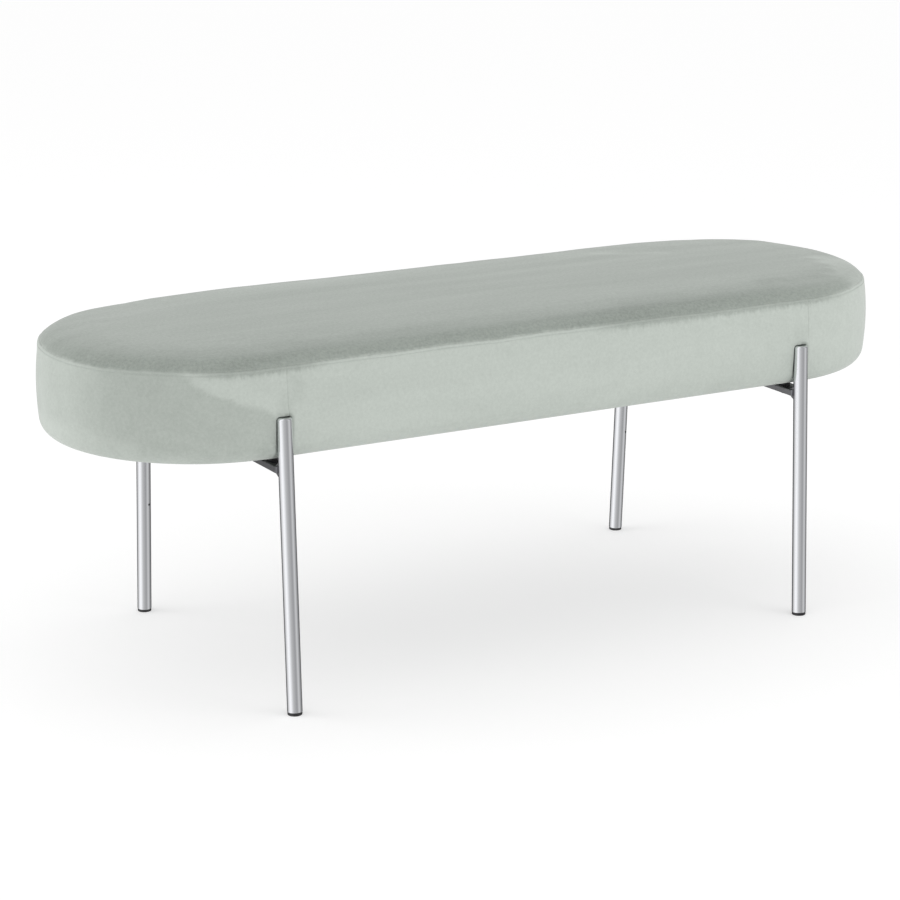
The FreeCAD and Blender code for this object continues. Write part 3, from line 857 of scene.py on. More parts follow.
        # painted shade along the top's front edge
        front = np.interp(self.way, *np.transpose(self.front_shade))
        ragged = reach + self.front_ragged * self.ragged + self.front_sweep * sweeps
        tone -= self.front_painted_shade * front * smooth_step(ragged, *self.front_reach)
        for stroke in self.strokes:
            tone += self.brush(stroke)
        return tone + self.end_patch_tone * self.end_patch(reach)

    def end_patch(self, reach: np.ndarray) -> np.ndarray:
        """The brushed patch with ragged rays on the right end of the top.

        Args:
            reach: how far each vertex lies from the spine.

        Returns:
            Its share at each vertex.
        """
        beyond = self.x - self.form.spine / MM
        turn = np.degrees(np.arctan2(self.y, np.maximum(beyond, 1)))
        rays = self.ray_reach * np.sin(np.radians(turn * self.ray_count)) + self.ray_ragged * self.ragged
        inner = self.end_patch_reach + rays
        inner += self.end_patch_growth * np.clip(-turn - self.end_patch_turn, 0, 60)
        share = smooth_step(reach - inner, *self.end_patch_edge) * self.band(turn, *self.end_patch_turns)
        return share * (beyond > 1)

    def side(self) -> np.ndarray:
        """The side band's tone: its pile, darker towards the bottom, with painted shade and painted light.
        """
        flat = np.column_stack([self.way, self.level, np.zeros(len(self.way))])
        mottle = cloud(flat * np.array(self.mottle_scale), 9)
        rubbed = cloud(flat * np.array(self.rubbed_scale), 4) * self.band(self.way, *self.rubbed_ways)
        tone = self.side_tone + self.uneven_tone * (mottle + rubbed)
        # darker blotches low on the band and a darkening towards its bottom
        blotches = smooth_step(mottle, *self.blotch_shares) * self.below(self.level, self.blotch_levels)
        tone -= self.low_tone * (blotches + self.below(self.level, self.low_levels))
        # painted light low on the left end
        left_end = smooth_step(-self.way, *self.left_end_light_ways)
        tone += self.left_end_painted_light * left_end * self.below(self.level, self.left_end_light_levels)
        patches = cloud(flat / np.array(self.back_sizes), 2) + 0.1 * mottle
        unseen = smooth_step(self.y, *self.back_depths)
        tone -= self.back_tone * unseen * smooth_step(patches, *self.back_shares)
        return tone + self.left_wedge() - self.leg_top_shade() + self.seam_lines() - self.hollow_shade()

    def left_wedge(self) -> np.ndarray:
        """The dark brushed wedge on the left end, with a feathered edge and a bright border, and the painted
        shade of a fold over the front-left leg.
        """
        thin, long = self.feather_sizes
        feather = cloud(np.column_stack([(self.way + self.feather_slant * self.level) / thin,
                                         (self.level - self.way) / long, np.zeros(len(self.way))]))
        wander = self.wedge_wander * self.wander + self.wedge_ragged * self.ragged
        (low, high), (lower, upper) = self.wedge_levels, self.wedge_slopes
        edge = self.wedge_edge - lower * np.clip(self.level - low, 0, high - low)
        edge -= upper * np.clip(self.level - high, 0, None)
        across = self.way + wander + self.feather_reach * feather - edge
        sunk = wander - self.level - self.wedge_low_slope * (self.way - self.wedge_low_way)
        dark = smooth_step(self.way + wander, *self.wedge_start)
        dark *= (1 - smooth_step(across, *self.wedge_soft)) * (1 - smooth_step(sunk, *self.wedge_low))
        bright = self.band(across, *self.bright_reach) * self.band(self.level, *self.bright_levels)
        bright *= self.way < self.bright_end
        # painted shade of a soft fold above the front-left leg
        stroke = self.band(self.way + self.fold_shade_wander * wander, *self.fold_shade_ways)
        stroke *= self.band(self.level, *self.fold_shade_levels)
        return self.wedge_light * bright - self.wedge_dark * dark - self.fold_painted_shade * stroke

    def leg_top_shade(self) -> np.ndarray:
        """The soft dark halo over each front leg."""
        shade = np.zeros(len(self.way))
        wide, high = self.leg_top_size
        for way, level in self.leg_tops:
            away = np.hypot((self.way - way) / wide, (self.level - level) / high)
            away += self.leg_top_ragged * self.ragged
            shade += self.leg_top_tone * (1 - smooth_step(away, *self.leg_top_fade))
        return shade

    def seam_lines(self) -> np.ndarray:
        """Painted shade in the upright seams' and the stitches' grooves, and a painted highlight on the
        seam's lip.
        """
        upright = self.line(self.form.band_seam_gap(self.skin.spots) / MM, 0, self.seam_width)
        stitches = self.line(self.rise, self.stitch_rise, self.stitch_width)
        lip = self.fringe() * self.line(self.rise, self.lip_rise, self.lip_width)
        return self.lip_painted_highlight * lip - self.upright_seam_shade * upright - self.stitch_groove_shade * stitches

    def hollow_shade(self) -> np.ndarray:
        """The shade in and round the legs' hollows, with a darker line on the front legs' right."""
        near = self.hollows.nearness(self.skin.spots) / MM
        beside = np.minimum(*(np.abs(self.way - way) for way in self.shadow_ways)) < self.shadow_reach
        rim = self.below(near, self.rim_widths) + self.below(near, self.shadow_widths) * beside
        return self.rim_tone * rim + self.halo_tone * self.below(near, self.halo_widths)


@dataclass
class VelvetCover:
    """The velvet cover in its five panels, fitted over the swollen padding."""

    form: SeatForm
    pad: SwollenPad
    hollows: LegHollows
    hem_reach: float = 150 * MM
    cloth_thickness: float = 1.8 * MM
    seam_rise: float = 4.6 * MM
    crease_depth: float = 0.4 * MM
    crease_width: float = 0.8 * MM
    stitch_drop: float = 4.6 * MM
    stitch_depth: float = 0.3 * MM
    stitch_width: float = 0.9 * MM
    lip_height: float = 0.4 * MM
    lip_rise: float = -2.4 * MM
    lip_width: float = 1.7 * MM
    roll_height: float = 0.3 * MM
    roll_rise: float = 4 * MM
    roll_width: float = 3.2 * MM
    upright_depth: float = 0.28 * MM
    upright_width: float = 0.9 * MM
    upright_fade: float = 1.5 * MM
    welt_height: float = 0.15 * MM
    welt_gap: float = 3.5 * MM
    welt_width: float = 2.2 * MM
    left_strength: float = 0.9
    right_strength: float = 0.15
    side_settle: float = 0.5 * MM
    edge_settle: float = 1 * MM
    middle_settle: float = 1.9 * MM
    settle_width: float = 60 * MM
    wave_height: float = 0.55 * MM
    wave_scale: tuple = (9, 14, 11)
    fine_height: float = 0.16 * MM
    fine_scale: tuple = (30, 30, 24)
    pucker_drop: float = 1 * MM
    pucker_height: float = 0.32 * MM
    pucker_width: float = 7 * MM
    pucker_scale: tuple = (70, 60, 1)
    ripple_height: float = 0.4 * MM
    ripple_width: float = 26 * MM
    ripple_scale: tuple = (24, 9, 2)
    seam_wander: float = 1.6 * MM
    wander_width: float = 16 * MM
    wander_scales: Pair = (11, 40)
    fine_wander: float = 0.35
    back_crest: tuple = ((-600, 1.5), (-580, 2.0), (-540, 0.2), (-500, -0.5), (-460, -2.0), (-420, -2.4),
                         (-380, 0.0), (-340, 1.0), (-300, 1.6), (-260, 2.1), (-180, 1.7), (-100, 0.9),
                         (80, 0.4), (140, 0.9), (260, 0.9), (340, 1.3), (380, 1.0), (420, 0.0),
                         (460, -0.5), (500, 0.2), (540, 1.5), (580, -0.5), (600, -0.5))
    crest_depths: Pair = (20 * MM, 110 * MM)
    crest_levels: Pair = (415 * MM, 435 * MM)
    crest_rises: Pair = (60 * MM, 140 * MM)
    hollow_levels: Pair = (358 * MM, 376 * MM)
    below_crease: float = 8 * MM
    above_crease: float = 4 * MM
    row_spacings: tuple = (8, 2.4, 4, 0.9, 3.5, 0.5, 0.5, 3, 7)
    lengths: int = 4
    cuts: int = 56
    turns: tuple = ((1.68, 6), (176.64, 154), (1.68, 6))
    leg_columns: tuple = (-11.5, -10.8, -10.35, -10, -9.4, -8.5, -7.2, -5.2, -2.7, 0, 2.3, 4.3, 5.6, 6.4, 7,
                          7.6, 8.4, 9.2, 9.8, 10.2, 10.6, 11.2, 12, 13, 14.2, 15.6, 17.6)
    stations: dict[str, float] = field(default_factory=dict)

    def columns(self) -> np.ndarray:
        """The places of the mesh's columns along the straight sides, closer together at the legs."""
        left = np.array(self.leg_columns) * MM - self.hollows.leg_reach
        count = self.lengths * (self.cuts + 1) + 1 - 2 * len(left)
        middle = np.linspace(left[-1], -left[-1], count + 2)[1:-1]
        return np.concatenate([left, middle, -left[::-1]])

    def rows(self, section: np.ndarray, along: np.ndarray) -> np.ndarray:
        """The places of the mesh's rows along the section, closest at the seam.

        Args:
            section: the section from hem to middle.
            along: how far along each of its points lies.

        Returns:
            The rows' places along the section.
        """
        outer = section[:, 0] > self.form.half_width - self.pad.shoulder_depth

        def at_level(level: float) -> float:
            """How far along the outer side a level is reached."""
            return float(along[outer][np.argmin(np.abs(section[outer, 1] - level))])

        base, side, crown = (float(along[HEM_POINTS + arc * ARC_POINTS]) for arc in (0, 1, 3))
        crease = at_level(self.form.seam_level) + self.seam_rise
        self.stations = {"base": base, "side": side, "crease": crease, "crown": crown,
                         "stitches": crease - self.stitch_drop}
        low, high = (at_level(level) for level in self.hollow_levels)
        under, over = crease - self.below_crease, crease + self.above_crease
        ends = (0, base, side, low, high, under, crease, over, crown, along[-1])
        stops = [np.linspace(start, end, math.ceil((end - start) / (spacing * MM)), endpoint=False)
                 for start, end, spacing in zip(ends, ends[1:], self.row_spacings)]
        return np.concatenate([*stops, [along[-1]]])

    def build(self) -> dict[Panel, bpy.types.Object]:
        """Make the cover over the pad and part it into its panels."""
        section = self.form.trace(self.hem_reach)
        along = run_length(section)
        stops = self.rows(section, along)
        self.skin = RoundSkin(self.form, "velvet_cover", sample(section, along, stops), stops,
                              self.lengths, self.cuts, self.turns, self.columns())
        self.skin.draw()
        offset = self.pad.fullness(self.skin, 0.0) - self.settle()
        offset += self.seam_shape() + self.soft_unevenness()
        above_base = smooth_step(self.skin.stop, self.stations["base"], self.stations["side"])
        spots = self.skin.spots + self.skin.normal * (offset * above_base)[:, None] + self.wander()
        self.skin.spots = self.hollows.press(spots)
        put(self.skin.item, self.skin.spots)
        PileWithPaintedLight(self.form, self.skin, self.stations["crease"], self.hollows).paint()
        return self.split()

    def settle(self) -> np.ndarray:
        """How far the cover sinks back from the swollen pad's fullness, most in the middle of the top."""
        rise = self.skin.stop - self.stations["crease"]
        top = self.edge_settle + self.middle_settle * smooth_step(rise, 0, self.settle_width)
        return np.where(rise > 0, top, self.side_settle)

    def seam_shape(self) -> np.ndarray:
        """The topstitched seam's lip and grooves, and the upright seams of the band."""
        rise = self.skin.stop - self.stations["crease"]

        def ridge(centre: float, width: float) -> np.ndarray:
            """A share of 1 at one rise above the crease, fading out on both sides."""
            return np.exp(-((rise - centre) / width) ** 2)

        groove = self.crease_depth * ridge(0, self.crease_width)
        stitches = self.stitch_depth * ridge(-self.stitch_drop, self.stitch_width)
        lip = self.lip_height * ridge(self.lip_rise, self.lip_width)
        roll = self.roll_height * ridge(self.roll_rise, self.roll_width)
        offset = lip + roll - (groove + stitches)
        gap = self.form.band_seam_gap(self.skin.spots)
        below = smooth_step(-rise, 0, self.upright_fade)
        below *= np.where(self.skin.spots[:, 0] > 0, self.right_strength, self.left_strength)
        offset -= self.upright_depth * np.exp(-(gap / self.upright_width) ** 2) * below
        return offset + self.welt_height * np.exp(-((gap - self.welt_gap) / self.welt_width) ** 2) * below

    def soft_unevenness(self) -> np.ndarray:
        """The cover's hand-made unevenness: soft waves, puckers along the seam, a squeeze at the legs."""
        waves = cloud(self.skin.spots * np.array(self.wave_scale))
        fine = cloud(self.skin.spots * np.array(self.fine_scale), 5)
        flat = np.column_stack([self.skin.way, self.skin.stop, np.full(len(waves), 3.0)])
        pucker = cloud(flat * np.array(self.pucker_scale))
        ripple = cloud(flat * np.array(self.ripple_scale))
        rise = np.abs(self.skin.stop - self.stations["crease"] + self.pucker_drop)
        offset = self.wave_height * waves + self.fine_height * fine
        offset += self.pucker_height * pucker * np.exp(-(rise / self.pucker_width) ** 2)
        offset += self.ripple_height * ripple * np.exp(-(rise / self.ripple_width) ** 2)
        beside = np.maximum(self.hollows.nearness(self.skin.spots), 0)
        offset += self.hollows.squeeze * np.exp(-(beside / self.hollows.squeeze_width) ** 2)
        return offset + self.crest()

    def crest(self) -> np.ndarray:
        """How much higher or lower the top's far edge lies than its plain form."""
        x, y, level = self.skin.spots.T
        crest = np.interp(x / MM, *np.transpose(self.back_crest)) * MM
        rise = self.skin.stop - self.stations["crease"]
        near = smooth_step(y, *self.crest_depths) * smooth_step(level, *self.crest_levels)
        return crest * near * (1 - smooth_step(rise, *self.crest_rises))

    def wander(self) -> np.ndarray:
        """How the sewn seam wanders up and down, as a shift of each vertex along the section."""
        place = np.clip(self.skin.spots[:, 0], -self.form.spine, self.form.spine)
        ring = self.skin.outward * self.form.half_width
        ring = np.column_stack([ring[:, 0] + place, ring[:, 1], np.full(len(ring), 0.4)])
        wide, fine = (cloud(ring * scale) for scale in self.wander_scales)
        shift = self.seam_wander * wide + self.fine_wander * self.seam_wander * fine
        shift *= np.exp(-((self.skin.stop - self.stations["crease"]) / self.wander_width) ** 2)
        across = np.hypot(*self.skin.normal[:, :2].T)
        upward = np.column_stack([-self.skin.outward * self.skin.normal[:, 2:], across])
        return upward * shift[:, None]

    def split(self) -> dict[Panel, bpy.types.Object]:
        """Part the cover along its seams and give each panel the cloth's thickness."""
        item, skin, half = self.skin.item, self.skin, self.form.half_way()
        crease = self.stations["crease"] - CLOSE
        home = [None] * len(item.data.polygons)
        for face in item.data.polygons:
            corners = list(face.vertices)
            if min(skin.stop[corners]) >= crease:
                home[face.index] = Panel.TOP
            else:
                turns = skin.way[corners] / half * math.pi
                middle = math.atan2(np.sin(turns).sum(), np.cos(turns).sum()) / math.pi * half
                home[face.index] = self.form.band_panel(middle)
        item.data.attributes.new("panel", "INT", "FACE").data.foreach_set(
            "value", [list(Panel).index(panel) for panel in home])
        panels = {}
        for number, panel in enumerate(list(Panel)[:-1]):
            edit(item, "FACE")
            layer = bmesh.from_edit_mesh(item.data).faces.layers.int["panel"]
            pick(item, "faces", lambda face: face[layer] == number)
            bpy.ops.mesh.separate(type="SELECTED")
            bpy.ops.object.mode_set(mode="OBJECT")
            panels[panel] = next(other for other in bpy.context.selected_objects if other != item)
        panels[Panel.LEFT] = item
        for panel in panels.values():
            apply_modifier(panel, "SOLIDIFY", thickness=self.cloth_thickness, offset=-1)
        return panels

    def dress(self, panels: dict[Panel, bpy.types.Object], material: bpy.types.Material) -> None:
        """Name and dress the panels and let them stand for their CAD nodes.

        Args:
            panels: the cover's panels.
            material: the velvet.
        """
        for panel, item in panels.items():
            name = "velvet_top" if panel is Panel.TOP else f"velvet_band_{panel.name.lower()}"
            finish_piece(item, name, material)
            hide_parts(panel.value)


@dataclass
class Topstitching:
    """The row of stitches under the seam's lip: one stitch modelled, then copied all the way round."""

    cover: VelvetCover
    spacing: float = 5 * MM
    length: float = 4.2 * MM
    thickness: float = 0.5 * MM
    height: float = 0.08 * MM
    sides: int = 6
    end_inset: float = 0.1 * MM
    end_core: float = 0.2 * MM
    rim_share: float = 0.8
    aim_parts: tuple[float, float, float] = (0.4, 0.5, 0.6)

    def build(self, material: bpy.types.Material) -> bpy.types.Object:
        """Sew the row.

        Args:
            material: the thread.

        Returns:
            All the stitches as one object.
        """
        line, outward = self.stitch_line()
        closed = np.vstack([line, line[:1]])
        along = np.concatenate([[0], np.cumsum(np.linalg.norm(np.diff(closed, axis=0), axis=1))])
        count = round(along[-1] / self.spacing)
        stitch = self.one_stitch()
        copies = []
        for number in range(count):
            start, middle, end = (self.at(closed, along, (number + part) * along[-1] / count)
                                  for part in self.aim_parts)
            aim = (end - start).normalized()
            facing = Vector(outward[np.argmin(np.linalg.norm(line - np.array(middle), axis=1))])
            side = facing.cross(aim).normalized()
            face = aim.cross(side)
            copy = bpy.data.objects.new("stitch", stitch.data.copy())
            bpy.context.collection.objects.link(copy)
            copy.matrix_world = Matrix.Translation(middle + face * self.height) @ Matrix(
                (aim, side, face)).transposed().to_4x4()
            copies.append(copy)
        bpy.data.objects.remove(stitch)
        deselect()
        for copy in copies:
            copy.select_set(True)
        bpy.context.view_layer.objects.active = copies[0]
        bpy.ops.object.join()
        bpy.ops.object.transform_apply(location=True, rotation=True, scale=True)
        return finish_piece(copies[0], "topstitch_thread", material)

    def one_stitch(self) -> bpy.types.Object:
        """Model one stitch: a short round thread, thickest in its middle."""
        deselect()
        bpy.ops.mesh.primitive_cylinder_add(vertices=self.sides, radius=self.thickness / 2,
                                            depth=self.length, rotation=(0, math.pi / 2, 0))
        item = bpy.context.object
        bpy.ops.object.transform_apply(location=True, rotation=True, scale=True)
        edit(item, "FACE")
        pick(item, "faces", lambda face: len(face.verts) > 4)
        bpy.ops.mesh.inset(thickness=self.end_inset)
        bpy.ops.object.mode_set(mode="OBJECT")
        spots = places(item)
        inner = np.hypot(spots[:, 1], spots[:, 2]) < self.end_core
        spots[:, 0] *= np.where(inner, 1.0, self.rim_share)
        put(item, spots)
        return item

    def stitch_line(self) -> tuple[np.ndarray, np.ndarray]:
        """The places along the groove under the lip, in order, and the way outwards at each."""
        skin = self.cover.skin
        level = skin.stops[np.argmin(np.abs(skin.stops - self.cover.stations["stitches"]))]
        ring = np.nonzero(np.abs(skin.stop - level) < CLOSE)[0]
        ring = ring[np.argsort(skin.way[ring])]
        return skin.spots[ring], skin.normal[ring]

    @staticmethod
    def at(line: np.ndarray, along: np.ndarray, where: float) -> Vector:
        """The place at a distance along a line."""
        return Vector([np.interp(where, along, column) for column in line.T])


# Padding inside the cover, and the cloth underneath


@dataclass
class InnerPadding:
    """The wadding and the two foam pieces between the cover and the timber carcass."""

    form: SeatForm
    pad: SwollenPad
    hollows: LegHollows
    timber_reach: float = 188.5 * MM
    deck_level: float = 386.5 * MM
    wadding_inset: float = 4.4 * MM
    foam_inset: float = 9.2 * MM
    layer_gap: float = 0.4 * MM
    deck_gap: float = 0.2 * MM
    wadding_extra: float = 7 * MM
    foam_extra: float = 12 * MM
    swell_levels: Pair = (350 * MM, 380 * MM)
    crown_drop: float = 2.6 * MM
    crown_levels: Pair = (415 * MM, 440 * MM)
    spacing: float = 8 * MM
    floor_points: int = 60
    cuts: int = 90
    turns: tuple = ((180.0, 60),)

    def build(self, wadding: bpy.types.Material, foam: bpy.types.Material) -> None:
        """Make the three pieces, each fitted under the swollen form.

        Args:
            wadding: the finish of the outer layer.
            foam: the finish of the pad and the strip.
        """
        outer = self.form.trace(self.form.base_centre()[0], self.wadding_inset)
        first = int(np.argmax(outer[:, 0] > self.timber_reach))
        layer = self.layer("wadding_layer", outer[first:], self.wadding_inset, self.wadding_extra)
        thickness = self.foam_inset - self.wadding_inset - self.layer_gap
        apply_modifier(layer, "SOLIDIFY", thickness=thickness, offset=-1)
        self.finish(layer, "wadding_wrap", wadding)
        inner = self.form.trace(self.form.base_centre()[0], self.foam_inset)
        above = inner[(inner[:, 1] > self.deck_level)]
        floor = np.array([(reach, self.deck_level, 0, 0)
                          for reach in np.linspace(0, above[0, 0], self.floor_points)])
        pad = self.layer("foam_seat_pad", np.vstack([floor, above]), self.foam_inset, self.foam_extra)
        self.finish(pad, "seat_foam", foam)
        strip = inner[(inner[:, 0] > self.timber_reach) & (inner[:, 1] < self.deck_level)]
        strip = strip[:np.argmax(strip[:, 1])]
        under_deck = self.deck_level - self.deck_gap
        corners = [(reach, level, 0, 0) for reach, level in (
            (strip[-1, 0], under_deck), (self.timber_reach, under_deck), (self.timber_reach, strip[0, 1]))]
        loop = np.vstack([strip, corners, strip[:1]])
        self.finish(self.layer("foam_side_strip", loop, self.foam_inset, self.foam_extra), "side_foam", foam)

    def layer(self, name: str, section: np.ndarray, inset: float, extra: float) -> bpy.types.Object:
        """Carry one layer's section round the seat and fit it under the swollen form.

        Args:
            name: the layer's name.
            section: its section.
            inset: how far inside the seat's form it lies.
            extra: how much wider than the cover's its leg hollows are.

        Returns:
            The layer's object.
        """
        along = run_length(section)
        stops = np.linspace(0, along[-1], round(along[-1] / self.spacing) + 1)
        skin = RoundSkin(self.form, name, sample(section, along, stops), stops, cuts=self.cuts,
                         turns=self.turns)
        skin.draw()
        offset = self.pad.fullness(skin, inset) * smooth_step(skin.spots[:, 2], *self.swell_levels)
        offset -= self.crown_drop * smooth_step(skin.spots[:, 2], *self.crown_levels)
        put(skin.item, self.hollows.press(skin.spots + skin.normal * offset[:, None], extra))
        return skin.item

    def finish(self, item: bpy.types.Object, node: str, material: bpy.types.Material) -> None:
        """Dress a layer and let it stand for its CAD node.

        Args:
            item: the layer.
            node: the CAD node that it stands for.
            material: what it is made of.
        """
        finish_piece(item, item.name, material, smooth=40)
        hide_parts(node)


@dataclass
class UndersideCloth:
    """The black cloth stapled under the seat, its edge turned in."""

    form: SeatForm
    reach: float = 166 * MM
    level: float = 315.2 * MM
    thickness: float = 0.5 * MM
    sag: float = 1.1 * MM
    sag_share: float = 0.45
    sag_scale: tuple = (7, 16, 1)
    sag_start: float = 2 * MM
    sag_width: float = 50 * MM
    hem: float = 11 * MM
    hem_step: float = 0.15 * MM
    rim_width: float = 0.6 * MM
    step_width: float = 0.4 * MM
    rings: int = 24
    cuts: int = 80
    turns: tuple = ((180.0, 60),)

    def build(self, material: bpy.types.Material) -> bpy.types.Object:
        """Make the cloth with its turned-in edge and its slight sag.

        Args:
            material: the black cloth's finish.

        Returns:
            The cloth's object.
        """
        turned = self.reach - self.hem
        edge = np.array([self.reach, self.reach - self.rim_width, turned, turned - self.step_width])
        reaches = np.concatenate([edge, np.linspace(edge[-1], 0, self.rings)[1:]])
        section = np.column_stack([reaches, np.full(len(reaches), self.level),
                                   np.zeros(len(reaches)), -np.ones(len(reaches))])
        skin = RoundSkin(self.form, "underside_cloth", section, run_length(section), cuts=self.cuts,
                         turns=self.turns)
        item = skin.draw()
        inner = smooth_step(skin.stop, self.hem + self.sag_start, self.sag_width)
        unevenness = cloud(skin.spots * np.array(self.sag_scale))
        sag = self.sag * (1 - self.sag_share + self.sag_share * unevenness) * inner
        sag += self.hem_step * (skin.stop < self.hem + self.step_width / 2)
        skin.spots[:, 2] -= sag
        put(item, skin.spots)
        close_up(item)
        apply_modifier(item, "SOLIDIFY", thickness=self.thickness, offset=0)
        finish_piece(item, "underside_cloth", material, smooth=30)
        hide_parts("dust_cover")
        return item


# Shader building


def paint(red: float, green: float, blue: float) -> Color:
    """A colour as it looks on a screen, 0 to 255, turned into light values."""
    parts = (part / 255 for part in (red, green, blue))
    return tuple(part / 12.92 if part <= 0.04045 else ((part + 0.055) / 1.055) ** 2.4 for part in parts)


class Wiring:
    """A node tree being wired up."""

    def __init__(self, tree: bpy.types.NodeTree) -> None:
        """Start on a tree, emptied of what it held."""
        self.tree = tree
        tree.nodes.clear()

    def give(self, target: bpy.types.NodeSocket, given: object) -> None:
        """Link a socket to an input, or set the input's own value.

        Args:
            target: the input.
            given: the socket or value.
        """
        if isinstance(given, bpy.types.NodeSocket):
            self.tree.links.new(given, target)
        else:
            target.default_value = given

    def add(self, kind: str, inputs: dict | None = None, **settings: object) -> bpy.types.Node:
        """Add a node.

        Args:
            kind: its type after "ShaderNode".
            inputs: values, or sockets to link, by input name or number.
            settings: the node's own settings.

        Returns:
            The node.
        """
        node = self.tree.nodes.new(f"ShaderNode{kind}")
        for name, setting in settings.items():
            setattr(node, name, setting)
        for name, given in (inputs or {}).items():
            self.give(node.inputs[name], given)
        return node

    def math(self, operation: str, first: object, second: object, clamp: bool = False) -> object:
        """The result of a sum on two values or sockets."""
        return self.add("Math", {0: first, 1: second}, operation=operation, use_clamp=clamp).outputs[0]

    def spread(self, amount: object, taken: Pair = (0.0, 1.0), given: Pair = (0.0, 1.0),
               soft: bool = False) -> bpy.types.NodeSocket:
        """Spread one span of a value over another, and hold it there beyond both ends.

        Args:
            amount: the value.
            taken: the span that it is read over.
            given: the span that comes out.
            soft: whether it eases in and out.

        Returns:
            The new value's socket.
        """
        inputs = dict(enumerate((amount, *taken, *given)))
        kind = "SMOOTHSTEP" if soft else "LINEAR"
        return self.add("MapRange", inputs, interpolation_type=kind).outputs[0]

    def blend(self, share: object, first: Color, second: Color) -> bpy.types.NodeSocket:
        """Blend one colour into another.

        Args:
            share: the second colour's share.
            first: the first colour.
            second: the second colour.

        Returns:
            The colour's socket.
        """
        node = self.add("Mix", data_type="RGBA")
        sockets = {entry.identifier: entry for entry in node.inputs}
        self.give(sockets["Factor_Float"], share)
        self.give(sockets["A_Color"], (*first, 1))
        self.give(sockets["B_Color"], (*second, 1))
        return next(entry for entry in node.outputs if entry.identifier == "Result_Color")


def group_tree(name: str, inputs: dict[str, tuple[str, object]], outputs: Iterable[str]) -> tuple:
    """Start a node group with named sockets.

    Args:
        name: the group's name.
        inputs: each input's socket type and first value.
        outputs: the names of its values put out.

    Returns:
        The wiring, the group's input node and its output node.
    """
    tree = bpy.data.node_groups.new(name, "ShaderNodeTree")
    for title, (kind, first) in inputs.items():
        socket = tree.interface.new_socket(title, in_out="INPUT", socket_type=f"NodeSocket{kind}")
        if first is not None:
            socket.default_value = first
    for title in outputs:
        tree.interface.new_socket(title, in_out="OUTPUT", socket_type="NodeSocketFloat")
    wiring = Wiring(tree)
    return wiring, tree.nodes.new("NodeGroupInput"), tree.nodes.new("NodeGroupOutput")


class Effects:
    """The surface effects that several finishes share, each a node group made once."""

    coarser: float = 0.31
    grain_span: Pair = (0.35, 0.65)

    def __init__(self) -> None:
        """Make the groups."""
        self.grain = self.make_grain()
        self.patches = self.make_patches()

    def make_grain(self) -> bpy.types.NodeTree:
        """Fine even grain: short fibres, moulded texture or pores."""
        inputs = {"Vector": ("Vector", None), "Scale": ("Float", 900.0)}
        wiring, given, out = group_tree("fine_grain", inputs, ("Height", "Mask"))
        vector, scale = given.outputs["Vector"], given.outputs["Scale"]
        fine = wiring.add("TexNoise", {"Vector": vector, "Scale": scale, "Detail": 3.0, "Roughness": 0.6})
        coarse = wiring.add("TexNoise", {"Vector": vector, "Detail": 1.0,
                                         "Scale": wiring.math("MULTIPLY", scale, self.coarser)})
        mixed = wiring.math("MULTIPLY", wiring.math("ADD", fine.outputs["Fac"], coarse.outputs["Fac"]), 0.5)
        wiring.give(out.inputs["Height"], mixed)
        wiring.give(out.inputs["Mask"], wiring.spread(mixed, self.grain_span))
        return wiring.tree

    def make_patches(self) -> bpy.types.NodeTree:
        """Soft drifting patches, with a choice of how hard their edges are."""
        inputs = {"Vector": ("Vector", None), "Scale": ("Float", 9.0), "Spread": ("Float", 0.2)}
        wiring, given, out = group_tree("soft_patches", inputs, ("Mask",))
        drift = wiring.add("TexNoise", {"Vector": given.outputs["Vector"], "Scale": given.outputs["Scale"],
                                        "Detail": 4.0, "Roughness": 0.55, "Distortion": 0.4})
        span = tuple(wiring.math(way, 0.5, given.outputs["Spread"]) for way in ("SUBTRACT", "ADD"))
        wiring.give(out.inputs["Mask"], wiring.spread(drift.outputs["Fac"], span))
        return wiring.tree


class Coat:
    """A material being made from the shared effects, with one Principled shader."""

    def __init__(self, name: str, effects: Effects, **constants: object) -> None:
        """Start a material.

        Args:
            name: its name.
            effects: the shared node groups.
            constants: values of the shader's own sockets, with _ for each space.
        """
        self.material = bpy.data.materials.new(name)
        self.material.use_nodes = True
        self.effects = effects
        self.wiring = Wiring(self.material.node_tree)
        self.shader = self.wiring.add("BsdfPrincipled",
                                      {key.replace("_", " "): entry for key, entry in constants.items()})
        self.wiring.add("OutputMaterial", {"Surface": self.shader.outputs[0]})
        self.coords = self.wiring.add("TexCoord").outputs["Object"]

    def stretched(self, *scale: float) -> bpy.types.NodeSocket:
        """The object's coordinates, scaled along each axis."""
        return self.wiring.add("Mapping", {"Vector": self.coords, "Scale": scale}).outputs[0]

    def grain(self, scale: float, vector: object = None) -> bpy.types.Node:
        """The fine grain at a scale."""
        return self.effect(self.effects.grain, Vector=vector or self.coords, Scale=scale)

    def patches(self, scale: float, spread: float, vector: object = None) -> bpy.types.NodeSocket:
        """The soft patches' mask at a scale."""
        node = self.effect(self.effects.patches, Vector=vector or self.coords, Scale=scale, Spread=spread)
        return node.outputs["Mask"]

    def effect(self, tree: bpy.types.NodeTree, **inputs: object) -> bpy.types.Node:
        """Place one of the shared node groups with its own values.

        Args:
            tree: the group.
            inputs: its values or sockets by name.

        Returns:
            The group's node.
        """
        node = self.wiring.add("Group", node_tree=tree)
        for name, given in inputs.items():
            self.wiring.give(node.inputs[name], given)
        return node

    def feed(self, **sockets: object) -> None:
        """Link sockets to the shader's inputs, with _ for each space."""
        for name, socket in sockets.items():
            self.wiring.give(self.shader.inputs[name.replace("_", " ")], socket)

    def bump(self, height: object, depth: float, strength: float = 1.0) -> None:
        """Raise the surface by a height, to a depth in metres."""
        node = self.wiring.add("Bump", {"Height": height, "Distance": depth, "Strength": strength})
        self.feed(Normal=node.outputs[0])


# Finishes


